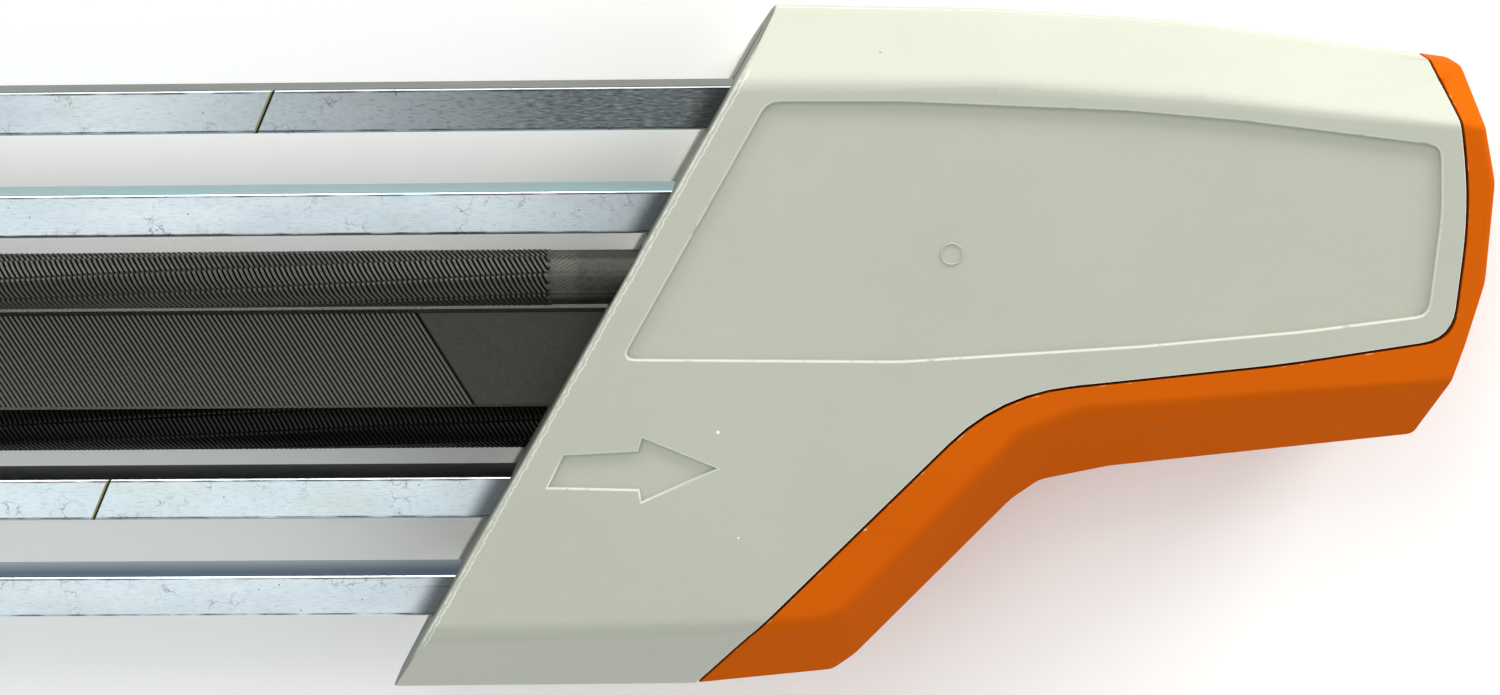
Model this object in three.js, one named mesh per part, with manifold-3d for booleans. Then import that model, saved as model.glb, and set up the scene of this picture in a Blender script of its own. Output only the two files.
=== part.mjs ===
// Chainsaw file guide: two plastic handles joined by four square rails, with two round files and one
// flat file stretched between them. Each handle has a J-shaped lock slide that pulls straight back.
// Millimetres, +Z up. The tool lies flat, +X along the rails, its origin under its middle.
import * as THREE from 'three';
import { mergeVertices } from 'three/addons/utils/BufferGeometryUtils.js';
import Module from 'manifold-3d';

const wasm = await Module();
wasm.setup();

// Whole tool
const clearSpan = 208;            // between the two handles' front edges, on the tool's axis
const fitGap = 0.3;               // running gap between neighbouring pieces
const overrun = 5;                // how far a cutter reaches past what it cuts
const circleSteps = 24;

// Rails and files
const railWidth = 3.7;
const railHeight = 5;
const railCorner = 0.35;
const railSpacing = 8.82;         // between the centres of an inner and an outer rail
const roundFileDiameter = 4.8;
const fileSpace = 0.5;            // between a round file and the flat file
const railSpace = 1.03;           // between a round file and its inner rail, seen from above
const fileSinkShare = 0.3;        // share of its diameter that a round file's axis lies past the rail faces
const flatFileWidth = 8.6;
const gaugeStep = 0.65;           // how far the flat file's faces stand outside the rail faces
const flatFileEdge = 0.3;

// Handle
const handleReach = 77;           // from the front edge, on the axis, to the rear end
const railCover = 6.55;           // from an outer rail to the handle's widest line
const handleThickness = 25;
const bandHeight = 5;             // upright band round the middle of the sides
const frontAngle = THREE.MathUtils.degToRad(30);
const wall = 2.2;
const slotHeight = 1.4;           // slot along the parting in the front edge, beyond the outer rail
const slotLength = 4.6;
const slideGap = 0.4;             // seam between handle shell and lock slide
const panelDepth = 0.5;
const arrowDepth = 0.4;
const panelCorner = 1;
const arrowCorner = 0.2;

// Rail yoke, file seat and their pins
const yokeLength = 7;             // along the rails
const yokeHalfHeight = 4;
const yokeMargin = 1.2;           // material outside the outer rails
const seatHalfHeight = 7.6;
const seatWall = 1.1;             // outside the round files
const seatLength = 10.8;
const seatFloor = 4;              // behind the files' ends
const railReachUpper = 30;        // where the rails on the wide side end inside the handle
const railReachInner = 18;
const railReachLower = 8;
const pinDiameter = 2;
const springThickness = 0.5;
const fileSpringWidth = 5;
const fileSpringBow = 0.6;

// Lock slide
const lockStroke = 10;
const tongueWidth = 5.4;
const tongueHeight = 4;
const tongueSpace = 0.975;        // between the lock tongue and the inner rail
const guideSpace = 1.025;         // between the guide rib and the rails beside it
const guideReach = 7.5;           // where the guide rib's nose stands behind the front edge's crossing
const notchDepth = 0.5;
const notchLength = 4;
const detentShare = 0.65;         // middle of the detent spring, as a share of handleReach
const detentLength = 20;
const detentWidth = 3.4;
const detentBow = 1.2;

// Posts inside the shells
const pegDiameter = 4;
const pegSink = 4;                // how far a peg passes the parting plane
const socketWall = 1.4;
const postSide = 2;
const ribWidth = 1.6;

const plasticGrey = new THREE.MeshStandardMaterial({ color: 0xbec1b3, roughness: 0.55, metalness: 0 });
const plasticOrange = new THREE.MeshStandardMaterial({ color: 0xd8600f, roughness: 0.45, metalness: 0 });
const plasticBlack = new THREE.MeshStandardMaterial({ color: 0x2b2d2e, roughness: 0.6, metalness: 0 });
const zincSteel = new THREE.MeshStandardMaterial({ color: 0xc9d6dd, roughness: 0.35, metalness: 0.9 });
const fileSteel = new THREE.MeshStandardMaterial({ color: 0x4a4a4c, roughness: 0.5, metalness: 0.8 });
const springSteel = new THREE.MeshStandardMaterial({ color: 0x8c9094, roughness: 0.3, metalness: 1 });

// Worked-out sizes
const halfSpan = clearSpan / 2;
const halfThickness = handleThickness / 2;
const halfBand = bandHeight / 2;
const frontSlope = Math.tan(frontAngle);
const frontWallRun = wall / Math.cos(frontAngle);
const roundFileRadius = roundFileDiameter / 2;
const roundFileOffset = flatFileWidth / 2 + fileSpace + roundFileRadius;
const innerRailOffset = roundFileOffset + roundFileRadius + railSpace + railWidth / 2;
const outerRailOffset = innerRailOffset + railSpacing;
const handleHalfWidth = outerRailOffset + railWidth / 2 + railCover;
const roundFileLevel = railHeight / 2 + fileSinkShare * roundFileDiameter;
const flatFileThickness = railHeight + 2 * gaugeStep;
const yokeStart = frontWallRun + fitGap;
const yokeEnd = yokeStart + yokeLength;
const seatStart = yokeEnd + fitGap;
const seatEnd = seatStart + seatLength;
const pinPlace = yokeStart + yokeLength / 2;
const fileGrip = seatEnd - seatFloor;
const seatHalfWidth = roundFileOffset + roundFileRadius + fitGap + seatWall;
const tongueOffset = innerRailOffset - railWidth / 2 - tongueSpace - tongueWidth / 2;
const guideOffset = (-innerRailOffset - outerRailOffset) / 2;
const guideWidth = railSpacing - railWidth - 2 * guideSpace;
const tongueReach = frontSlope * seatHalfWidth + seatEnd + fitGap;
const detentPlace = detentShare * handleReach;
const tongueNear = tongueOffset + tongueWidth / 2;

// Side outline, counter-clockwise from the lower front tip, as shares of handleReach and
// handleHalfWidth: widest line x, y, then the ridge of the broad face x, y. A null lies on the front edge.
const outlineShares = [
  [null, -1, null, -0.747],
  [0.118, -0.995, 0.118, -0.727],
  [0.28, -0.953, 0.266, -0.704],
  [0.306, -0.904, 0.292, -0.673],
  [0.481, -0.437, 0.445, -0.256],
  [0.513, -0.379, 0.48, -0.165],
  [0.59, -0.339, 0.545, -0.095],
  [0.926, -0.249, 0.94, -0.017],
  [0.963, -0.079, 0.952, 0.084],
  [0.99, 0.193, 0.971, 0.264],
  [0.999, 0.508, 0.977, 0.539],
  [0.964, 0.822, 0.965, 0.697],
  [0.664, 0.936, 0.673, 0.788],
  [0.455, 0.976, 0.458, 0.835],
  [null, 0.993, null, 0.845],
];

// Seam between shell and lock slide, in the same shares, from below the handle round its rear. Each corner
// is rounded over its cut, a share of handleHalfWidth.
const seamShares = [
  { at: [0.092, -1.111], cutShare: 0 },
  { at: [0.196, -0.727], cutShare: 0.05 },
  { at: [0.461, -0.041], cutShare: 0.2 },
  { at: [0.76, 0.037], cutShare: 0.1 },
  { at: [0.938, 0.106], cutShare: 0.08 },
  { at: [0.951, 0.468], cutShare: 0.14 },
  { at: [0.939, 0.711], cutShare: 0.08 },
  { at: [0.905, 1.111], cutShare: 0 },
];

// Recessed panel and arrow on the broad face, in the same shares
const panelShares = [
  [0.058, 0.065], [0.354, 0.054], [0.61, 0.092], [0.78, 0.13], [0.912, 0.172],
  [0.922, 0.455], [0.919, 0.641], [0.713, 0.714], [0.594, 0.744], [0.355, 0.775], [0.216, 0.778],
];
const arrowShares = [
  [-0.027, -0.303], [0.074, -0.306], [0.074, -0.347], [0.158, -0.249],
  [0.077, -0.159], [0.074, -0.202], [-0.008, -0.208],
];

// Pegs that join the two shells, in the same shares
const pegShares = [[0.571, 0.623], [0.857, 0.606], [0.355, -0.051]];

function onHandle([xShare, yShare]) {
  const y = yShare * handleHalfWidth;
  const x = xShare === null ? y * frontSlope : xShare * handleReach;
  return new THREE.Vector2(x, y);
}

// Solids

function toSolid(geometry) {
  const bare = geometry.index ? geometry.toNonIndexed() : geometry.clone();
  bare.deleteAttribute('normal');
  bare.deleteAttribute('uv');
  const merged = mergeVertices(bare);
  return new wasm.Manifold(new wasm.Mesh({
    numProp: 3,
    vertProperties: new Float32Array(merged.attributes.position.array),
    triVerts: new Uint32Array(merged.index.array),
  }));
}

function toGeometry(solid) {
  const mesh = solid.getMesh();
  const geometry = new THREE.BufferGeometry();
  geometry.setAttribute('position', new THREE.BufferAttribute(new Float32Array(mesh.vertProperties), 3));
  geometry.setIndex(new THREE.BufferAttribute(new Uint32Array(mesh.triVerts), 1));
  geometry.computeVertexNormals();
  return geometry;
}

function boxSolid(x0, x1, y0, y1, z0, z1) {
  const geometry = new THREE.BoxGeometry(x1 - x0, y1 - y0, z1 - z0);
  geometry.translate((x0 + x1) / 2, (y0 + y1) / 2, (z0 + z1) / 2);
  return toSolid(geometry);
}

function prismSolid(points, z0, z1) {
  const shape = new THREE.Shape(points);
  const geometry = new THREE.ExtrudeGeometry(shape, { depth: z1 - z0, bevelEnabled: false });
  geometry.translate(0, 0, z0);
  return toSolid(geometry);
}

function uprightCylinder(radius, x, y, z0, z1) {
  const geometry = new THREE.CylinderGeometry(radius, radius, z1 - z0, circleSteps);
  geometry.rotateX(Math.PI / 2);
  geometry.translate(x, y, (z0 + z1) / 2);
  return toSolid(geometry);
}

function lengthwiseCylinder(radius, y, z, x0, x1) {
  const geometry = new THREE.CylinderGeometry(radius, radius, x1 - x0, circleSteps);
  geometry.rotateZ(Math.PI / 2);
  geometry.translate((x0 + x1) / 2, y, z);
  return toSolid(geometry);
}

// A bar along X whose long edges are cut off by a small corner
function barSolid(width, height, corner, y, z, x0, x1) {
  const w = width / 2;
  const h = height / 2;
  const shape = new THREE.Shape([
    new THREE.Vector2(-w + corner, -h), new THREE.Vector2(w - corner, -h),
    new THREE.Vector2(w, -h + corner), new THREE.Vector2(w, h - corner),
    new THREE.Vector2(w - corner, h), new THREE.Vector2(-w + corner, h),
    new THREE.Vector2(-w, h - corner), new THREE.Vector2(-w, -h + corner),
  ]);
  const geometry = new THREE.ExtrudeGeometry(shape, { depth: x1 - x0, bevelEnabled: false });
  geometry.rotateX(Math.PI / 2);
  geometry.rotateZ(Math.PI / 2);
  geometry.translate(x0, y, z);
  return toSolid(geometry);
}

// A closed solid through rings of equally many points, each ring level at its own height
function loftSolid(rings) {
  const count = rings[0].points.length;
  const positions = [];
  for (const ring of rings) {
    for (const point of ring.points) {
      positions.push(point.x, point.y, ring.z);
    }
  }
  const index = [];
  for (let r = 0; r + 1 < rings.length; r += 1) {
    for (let i = 0; i < count; i += 1) {
      const a = r * count + i;
      const b = r * count + (i + 1) % count;
      index.push(a, b, b + count, a, b + count, a + count);
    }
  }
  const top = (rings.length - 1) * count;
  for (const [a, b, c] of THREE.ShapeUtils.triangulateShape(rings[0].points, [])) {
    index.push(a, c, b);
  }
  for (const [a, b, c] of THREE.ShapeUtils.triangulateShape(rings[rings.length - 1].points, [])) {
    index.push(top + a, top + b, top + c);
  }
  const geometry = new THREE.BufferGeometry();
  geometry.setAttribute('position', new THREE.Float32BufferAttribute(positions, 3));
  geometry.setIndex(index);
  return toSolid(geometry);
}

// The same line of points moved sideways, to the left of its direction
function shifted(points, distance, closed) {
  const last = points.length - 1;
  return points.map((point, i) => {
    const before = closed ? points[(i + last) % points.length] : points[Math.max(i - 1, 0)];
    const after = closed ? points[(i + 1) % points.length] : points[Math.min(i + 1, last)];
    const into = point.clone().sub(before).normalize();
    const out = after.clone().sub(point).normalize();
    const first = into.lengthSq() > 0 ? into : out;
    const second = out.lengthSq() > 0 ? out : into;
    const normal = new THREE.Vector2(-first.y - second.y, first.x + second.x).normalize();
    const spread = normal.dot(new THREE.Vector2(-first.y, first.x));
    return point.clone().addScaledVector(normal, distance / spread);
  });
}

// Handle envelope, drawn in by a wall where asked

function envelope(inset, z0, z1) {
  const wide = shifted(outlineShares.map(([x, y]) => onHandle([x, y])), inset, true);
  const ridge = shifted(outlineShares.map(([, , x, y]) => onHandle([x, y])), inset, true);
  const full = loftSolid([
    { points: ridge, z: -halfThickness + inset },
    { points: wide, z: -halfBand },
    { points: wide, z: halfBand },
    { points: ridge, z: halfThickness - inset },
  ]);
  const slab = boxSolid(-handleReach, 2 * handleReach, -2 * handleHalfWidth, 2 * handleHalfWidth, z0, z1);
  return full.intersect(slab);
}

// The seam moved towards the shell by a distance, or towards the slide where it is negative
function seamLine(distance) {
  const corners = shifted(seamShares.map(({ at }) => onHandle(at)), distance, false);
  const path = new THREE.Path();
  corners.forEach((corner, i) => {
    const cut = seamShares[i].cutShare * handleHalfWidth;
    if (i === 0) {
      path.moveTo(corner.x, corner.y);
    } else if (cut === 0) {
      path.lineTo(corner.x, corner.y);
    } else {
      const into = corner.clone().add(corners[i - 1].clone().sub(corner).setLength(cut));
      const out = corner.clone().add(corners[i + 1].clone().sub(corner).setLength(cut));
      path.lineTo(into.x, into.y);
      path.quadraticCurveTo(corner.x, corner.y, out.x, out.y);
    }
  });
  return path.getPoints(6);
}

// The part of the plan on the shell's side of the seam, or on the lock slide's side
function shellPlan(distance) {
  const edge = seamLine(distance);
  const left = new THREE.Vector2(-handleReach, edge[edge.length - 1].y);
  const low = new THREE.Vector2(-handleReach, edge[0].y);
  return prismSolid([...edge, left, low], -handleThickness, handleThickness);
}

function slidePlan(distance) {
  const edge = seamLine(-distance);
  const top = new THREE.Vector2(2 * handleReach, edge[edge.length - 1].y);
  const low = new THREE.Vector2(2 * handleReach, edge[0].y);
  return prismSolid([low, top, ...edge.reverse()], -handleThickness, handleThickness);
}

// Rails and files where they pass through a handle, each grown by a clearance. The side is +1 where the
// file on the wide side of the handle lies high, and -1 where it lies low.

function railPlaces() {
  return [
    { y: outerRailOffset, reach: railReachUpper },
    { y: innerRailOffset, reach: railReachUpper },
    { y: -innerRailOffset, reach: railReachInner },
    { y: -outerRailOffset, reach: railReachLower },
  ];
}

function passages(side, grow) {
  const start = -handleReach / 2;
  let cutter = barSolid(
    flatFileWidth + 2 * grow, flatFileThickness + 2 * grow, flatFileEdge,
    0, 0, start, fileGrip + grow,
  );
  for (const { y, reach } of railPlaces()) {
    const end = reach + grow;
    const width = railWidth + 2 * grow;
    const height = railHeight + 2 * grow;
    cutter = cutter.add(barSolid(width, height, railCorner, y, 0, start, end));
  }
  for (const way of [1, -1]) {
    const y = way * roundFileOffset;
    const end = y * frontSlope + fileGrip + grow;
    const level = way * side * roundFileLevel;
    cutter = cutter.add(lengthwiseCylinder(roundFileRadius + grow, y, level, start, end));
  }
  return cutter;
}

// A prism whose ends are parallel to the handle's front edge
function slantedBlock(start, end, y0, y1, halfHeight) {
  const corner = (run, y) => new THREE.Vector2(y * frontSlope + run, y);
  const corners = [corner(start, y0), corner(end, y0), corner(end, y1), corner(start, y1)];
  return prismSolid(corners, -halfHeight, halfHeight);
}

function yokeSolid(side) {
  const halfWidth = outerRailOffset + railWidth / 2 + yokeMargin;
  const coreHalfWidth = innerRailOffset - railWidth / 2 - 2 * fitGap;
  let yoke = slantedBlock(yokeStart, yokeEnd, -halfWidth, halfWidth, yokeHalfHeight);
  yoke = yoke.add(slantedBlock(yokeStart, yokeEnd, -coreHalfWidth, coreHalfWidth, seatHalfHeight));
  yoke = yoke.subtract(passages(side, fitGap));
  for (const { y } of railPlaces()) {
    const x = y * frontSlope + pinPlace;
    yoke = yoke.subtract(uprightCylinder(pinDiameter / 2 + fitGap, x, y, -halfThickness, halfThickness));
  }
  return yoke;
}

function seatSolid(side) {
  let seat = slantedBlock(seatStart, seatEnd, -seatHalfWidth, seatHalfWidth, seatHalfHeight);
  seat = seat.subtract(passages(side, fitGap));
  const top = flatFileThickness / 2 + fitGap + springThickness + fileSpringBow + fitGap;
  const halfWidth = fileSpringWidth / 2 + fitGap;
  return seat.subtract(boxSolid(0, fileGrip + fitGap, -halfWidth, halfWidth, 0, top));
}

// A thin strip bowed in its own plane, from x0 to x1, its hollow side up
function bowedStrip(x0, x1, bow, thickness) {
  const middle = (x0 + x1) / 2;
  const path = new THREE.Path();
  path.moveTo(x0, bow);
  path.quadraticCurveTo(middle, -bow, x1, bow);
  const lower = path.getPoints(10);
  const upper = lower.map((p) => new THREE.Vector2(p.x, p.y + thickness));
  return [...lower, ...upper.reverse()];
}

function fileSpringSolid() {
  const start = seatStart + frontSlope * fileSpringWidth / 2;
  const outline = bowedStrip(start, fileGrip, fileSpringBow, springThickness);
  const geometry = new THREE.ExtrudeGeometry(new THREE.Shape(outline), {
    depth: fileSpringWidth,
    bevelEnabled: false,
  });
  geometry.rotateX(Math.PI / 2);
  geometry.translate(0, fileSpringWidth / 2, flatFileThickness / 2 + fitGap);
  return toSolid(geometry);
}

function detentSpringSolid() {
  const half = detentLength / 2;
  const outline = bowedStrip(detentPlace - half, detentPlace + half, detentBow, springThickness);
  const raised = outline.map((p) => new THREE.Vector2(p.x, p.y + tongueNear + fitGap));
  return prismSolid(raised, -detentWidth / 2, detentWidth / 2);
}

function tongueSolids(grow, reach) {
  const half = tongueWidth / 2 + grow;
  const height = tongueHeight / 2 + grow;
  const guideHalf = guideWidth / 2 + grow;
  const lock = [tongueOffset - half, tongueOffset + half, -height, height];
  const rib = [guideOffset - guideHalf, guideOffset + guideHalf, -height, height];
  return boxSolid(tongueReach - grow, reach, ...lock).add(boxSolid(guideReach - grow, reach, ...rib));
}

function slideSolid() {
  const body = envelope(0, -halfThickness, halfThickness).intersect(slidePlan(slideGap / 2));
  const hollow = envelope(wall, -halfThickness, halfThickness);
  const room = envelope(wall / 2, -halfThickness, halfThickness);
  const tongues = tongueSolids(0, 2 * handleReach).intersect(room);
  let slide = body.subtract(hollow).add(tongues);
  const notch = notchLength / 2;
  for (const place of [detentPlace, detentPlace - lockStroke]) {
    const points = [
      new THREE.Vector2(place - notch, tongueNear), new THREE.Vector2(place, tongueNear - notchDepth),
      new THREE.Vector2(place + notch, tongueNear), new THREE.Vector2(place, tongueNear + notchDepth),
    ];
    slide = slide.subtract(prismSolid(points, -tongueHeight, tongueHeight));
  }
  return slide;
}

// A cut into the broad face on one side of the mid-plane, with rounded corners
function faceCut(shares, depth, corner, way) {
  const points = shares.map(onHandle);
  const outline = new THREE.Shape();
  points.forEach((point, i) => {
    const before = points[(i + points.length - 1) % points.length];
    const after = points[(i + 1) % points.length];
    const into = point.clone().add(before.clone().sub(point).setLength(corner));
    const out = point.clone().add(after.clone().sub(point).setLength(corner));
    if (i === 0) {
      outline.moveTo(into.x, into.y);
    } else {
      outline.lineTo(into.x, into.y);
    }
    outline.quadraticCurveTo(point.x, point.y, out.x, out.y);
  });
  const floor = halfThickness - depth;
  const top = halfThickness + overrun;
  const low = Math.min(way * floor, way * top);
  return prismSolid(outline.getPoints(3), low, low + top - floor);
}

function joined(solids) {
  return solids.reduce((a, b) => a.add(b));
}

// A box between two levels on one side of the mid-plane
function sideBox(x0, x1, y0, y1, near, far, way) {
  return boxSolid(x0, x1, y0, y1, Math.min(way * near, way * far), Math.max(way * near, way * far));
}

// Ribs on the inner face of a shell that press on the yoke and the file seat
function pressingRibs(way) {
  const ceiling = halfThickness - wall / 2;
  const half = ribWidth / 2;
  const between = (outerRailOffset + innerRailOffset) / 2;
  const yokeRibs = [between, 0, -between].map((y) => {
    const foot = (y === 0 ? seatHalfHeight : yokeHalfHeight) + fitGap;
    const x = y * frontSlope + yokeStart;
    return sideBox(x, x + yokeLength, y - half, y + half, foot, ceiling, way);
  });
  const seatRib = sideBox(seatStart, seatEnd, -half, half, seatHalfHeight + fitGap, ceiling, way);
  return joined([...yokeRibs, seatRib]);
}

function pegSolids() {
  const top = halfThickness - wall / 2;
  const radius = pegDiameter / 2;
  return joined(pegShares.map(onHandle).map((p) => uprightCylinder(radius, p.x, p.y, -pegSink, top)));
}

function socketSolids() {
  const bore = pegDiameter / 2 + fitGap;
  const floor = -halfThickness + wall / 2;
  return joined(pegShares.map(onHandle).map((p) => {
    const tube = uprightCylinder(bore + socketWall, p.x, p.y, floor, -fitGap / 2);
    return tube.subtract(uprightCylinder(bore, p.x, p.y, -pegSink - fitGap, overrun));
  }));
}

// Two posts behind the ends of the detent spring
function springPosts() {
  const near = tongueNear + 2 * fitGap + detentBow + springThickness;
  const floor = -halfThickness + wall / 2;
  const ends = [detentPlace - detentLength / 2, detentPlace + detentLength / 2 - postSide];
  return joined(ends.map((x) => boxSolid(x, x + postSide, near, near + postSide, floor, detentWidth / 2)));
}

// One half of the handle's housing: way is +1 for the upper shell and -1 for the lower one
function shellSolid(way, side) {
  const near = fitGap / 2;
  const low = Math.min(way * near, way * halfThickness);
  const outer = envelope(0, low, low + halfThickness - near);
  const cavity = envelope(wall, -halfThickness, halfThickness).intersect(shellPlan(slideGap / 2 + wall));
  let shell = outer.intersect(shellPlan(slideGap / 2)).subtract(cavity);
  shell = shell.add(pressingRibs(way));
  shell = shell.add(way > 0 ? pegSolids() : joined([socketSolids(), springPosts()]));
  shell = shell.subtract(passages(side, fitGap));
  shell = shell.subtract(tongueSolids(fitGap, 2 * handleReach));
  shell = shell.subtract(faceCut(panelShares, panelDepth, panelCorner, way));
  shell = shell.subtract(faceCut(arrowShares, arrowDepth, arrowCorner, way));
  const slotStart = outerRailOffset + railWidth / 2;
  const slotEnd = slotStart + slotLength;
  return shell.subtract(slantedBlock(-overrun, frontWallRun / 2, slotStart, slotEnd, slotHeight / 2));
}

function railSolid(y) {
  const reachAt = (localY) => railPlaces().find((place) => place.y === localY).reach;
  const start = -halfSpan - reachAt(-y);
  let rail = barSolid(railWidth, railHeight, railCorner, y, 0, start, halfSpan + reachAt(y));
  for (const x of [halfSpan + y * frontSlope + pinPlace, -halfSpan + y * frontSlope - pinPlace]) {
    rail = rail.subtract(uprightCylinder(pinDiameter / 2 + fitGap, x, y, -railHeight, railHeight));
  }
  return rail;
}

function roundFileSolid(way) {
  const y = way * roundFileOffset;
  const shift = y * frontSlope;
  const reach = halfSpan + fileGrip;
  return lengthwiseCylinder(roundFileRadius, y, way * roundFileLevel, shift - reach, shift + reach);
}

function flatFileSolid() {
  const reach = halfSpan + fileGrip;
  return barSolid(flatFileWidth, flatFileThickness, flatFileEdge, 0, 0, -reach, reach);
}

// Scene graph

function node(name, solid, material) {
  const mesh = new THREE.Mesh(toGeometry(solid), material);
  mesh.name = name;
  return mesh;
}

function handle(name, side) {
  const group = new THREE.Group();
  group.add(node(`${name}_upper_shell`, shellSolid(1, side), plasticGrey));
  group.add(node(`${name}_lower_shell`, shellSolid(-1, side), plasticGrey));
  group.add(node(`${name}_lock_slide`, slideSolid(), plasticOrange));
  group.add(node(`${name}_rail_yoke`, yokeSolid(side), plasticBlack));
  group.add(node(`${name}_file_seat`, seatSolid(side), plasticBlack));
  group.add(node(`${name}_file_spring`, fileSpringSolid(), springSteel));
  group.add(node(`${name}_detent_spring`, detentSpringSolid(), springSteel));
  railPlaces().forEach(({ y }, i) => {
    const x = y * frontSlope + pinPlace;
    const pin = uprightCylinder(pinDiameter / 2, x, y, -yokeHalfHeight, yokeHalfHeight);
    group.add(node(`${name}_rail_pin_${i + 1}`, pin, zincSteel));
  });
  return group;
}

function buildTool() {
  const tool = new THREE.Group();
  [outerRailOffset, innerRailOffset, -innerRailOffset, -outerRailOffset].forEach((y, i) => {
    tool.add(node(`guide_rail_${i + 1}`, railSolid(y), zincSteel));
  });
  tool.add(node('round_file_upper', roundFileSolid(1), fileSteel));
  tool.add(node('round_file_lower', roundFileSolid(-1), fileSteel));
  tool.add(node('flat_file', flatFileSolid(), fileSteel));
  const right = handle('right', 1);
  right.position.x = halfSpan;
  const left = handle('left', -1);
  left.position.x = -halfSpan;
  left.rotation.z = Math.PI;
  tool.add(right, left);
  tool.position.z = halfThickness;
  return tool;
}

export default buildTool();
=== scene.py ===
# %% [markdown]
# A chainsaw file guide
#
# The tool sharpens a saw chain. Two plastic handles hold four square-edged rails, two round files
# and one flat file between them, and each handle has an orange lock slide that pulls back to free
# the files. The measured solids are loaded first. They give every size and every moving body, and
# this lesson dresses them: softer edges, real file teeth, and a material for each finish.

# %% Load the measured solids
import math

import bmesh
import bpy
from mathutils import Matrix, Vector
from mathutils.bvhtree import BVHTree


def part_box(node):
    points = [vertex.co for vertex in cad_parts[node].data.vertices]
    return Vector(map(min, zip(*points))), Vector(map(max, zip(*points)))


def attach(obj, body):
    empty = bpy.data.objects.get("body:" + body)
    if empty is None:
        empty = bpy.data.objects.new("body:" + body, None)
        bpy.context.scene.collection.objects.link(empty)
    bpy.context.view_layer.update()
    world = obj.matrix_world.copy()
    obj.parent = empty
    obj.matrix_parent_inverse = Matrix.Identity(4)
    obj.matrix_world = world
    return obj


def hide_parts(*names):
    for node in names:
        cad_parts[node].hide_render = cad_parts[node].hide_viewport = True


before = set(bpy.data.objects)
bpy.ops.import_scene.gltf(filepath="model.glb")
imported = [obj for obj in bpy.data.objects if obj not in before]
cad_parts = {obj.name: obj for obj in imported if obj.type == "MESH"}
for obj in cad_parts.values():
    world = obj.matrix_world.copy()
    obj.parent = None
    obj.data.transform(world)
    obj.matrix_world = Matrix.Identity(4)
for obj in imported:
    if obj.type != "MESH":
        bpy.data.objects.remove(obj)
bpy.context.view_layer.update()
MM = 0.001

# %% [markdown]
# The camera
#
# A camera can be aimed by eye, but here its place was worked out from the photograph: the rails'
# edges run to a vanishing point, and the handle's slanted front edge gives the tilt. So its place
# and turn are plain numbers. It looks down on the tool from a little beyond the upper rail.

# %% Camera
CAMERA_PLACE = (125.336, 55.971, 265.229)
CAMERA_TURN = (-12.478, 1.359, -0.729)
CAMERA_LENS = 72

scene = bpy.context.scene
camera_data = bpy.data.cameras.new("product_camera")
camera_data.lens = CAMERA_LENS
camera_data.clip_start = MM
camera = bpy.data.objects.new("product_camera", camera_data)
camera.location = Vector(CAMERA_PLACE) * MM
camera.rotation_euler = [math.radians(angle) for angle in CAMERA_TURN]
scene.collection.objects.link(camera)
scene.camera = camera
print("Camera height over the table, mm:", CAMERA_PLACE[2])

# %% [markdown]
# Colours and nodes
#
# Colours are picked as sRGB hex values, the way a paint program shows them, but shaders work in
# linear light. One function does that change. A second one adds a node, sets its inputs and draws
# its links. The rest say what a finish needs in a maker's words: a place on the piece, masks laid
# over each other, a band between two lengths, and coats of colour.

# %% Colour and nodes
def linear(hex_colour):
    channels = [int(hex_colour[i:i + 2], 16) / 255 for i in (1, 3, 5)]
    light = [c / 12.92 if c <= 0.04045 else ((c + 0.055) / 1.055) ** 2.4 for c in channels]
    return (*light, 1.0)


def add(material, kind, settings, links=None):
    """Adds a node. A setting named like an input sets that input, and any other sets the node.

    A link joins an input to another node's output, or sets the input if it is a plain number.
    """
    tree = material.node_tree
    node = tree.nodes.new(kind)
    for name, value in settings.items():
        if isinstance(name, int) or name in node.inputs:
            node.inputs[name].default_value = value
        else:
            setattr(node, name, value)
    for name, source in (links or {}).items():
        if isinstance(source, (int, float)):
            node.inputs[name].default_value = source
        else:
            tree.links.new(source, node.inputs[name])
    return node


def new_material(name):
    material = bpy.data.materials.new(name)
    material.use_nodes = True
    material.node_tree.nodes.clear()
    return material


print("Mid grey in linear light:", round(linear("#808080")[0], 3))


# %% Places on a piece
def per_mm(size):
    """The scale that makes a pattern's features this many millimetres wide."""
    return 1 / (size * MM)


def place(material, stretch=(1, 1, 1), turn=0):
    """Object coordinates, so a pattern keeps its real size and rides along on a moving piece."""
    where = add(material, "ShaderNodeTexCoord", {})
    mapping = add(material, "ShaderNodeMapping", {"Scale": stretch, "Rotation": (0, 0, turn)},
                  {"Vector": where.outputs["Object"]})
    return mapping.outputs["Vector"]


def lengths(material):
    """The place on a piece as three lengths: along the rails, across them, and upwards."""
    apart = add(material, "ShaderNodeSeparateXYZ", {}, {"Vector": place(material)})
    return [apart.outputs[axis] for axis in "XYZ"]


def away_from(material, value, middle):
    """How far a length is from a middle in mm, on either side of it."""
    off = add(material, "ShaderNodeMath", {"operation": "SUBTRACT", 1: middle * MM}, {0: value})
    away = add(material, "ShaderNodeMath", {"operation": "ABSOLUTE"}, {0: off.outputs["Value"]})
    return away.outputs["Value"]


print("Scale of a 2 mm pattern:", per_mm(2))


# %% Masks and coats
def product(material, first, *others):
    """Masks or lengths multiplied together. All but the first may be plain numbers."""
    for other in others:
        times = add(material, "ShaderNodeMath", {"operation": "MULTIPLY"}, {0: first, 1: other})
        first = times.outputs["Value"]
    return first


def band(material, value, low, high, blur):
    """1 where a length lies between two others in mm, with borders as soft as the blur."""
    half = (high - low) / 2
    inside = add(material, "ShaderNodeMapRange",
                 {"From Min": (half + blur) * MM, "From Max": (half - blur) * MM},
                 {"Value": away_from(material, value, low + half)})
    return inside.outputs["Result"]


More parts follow.
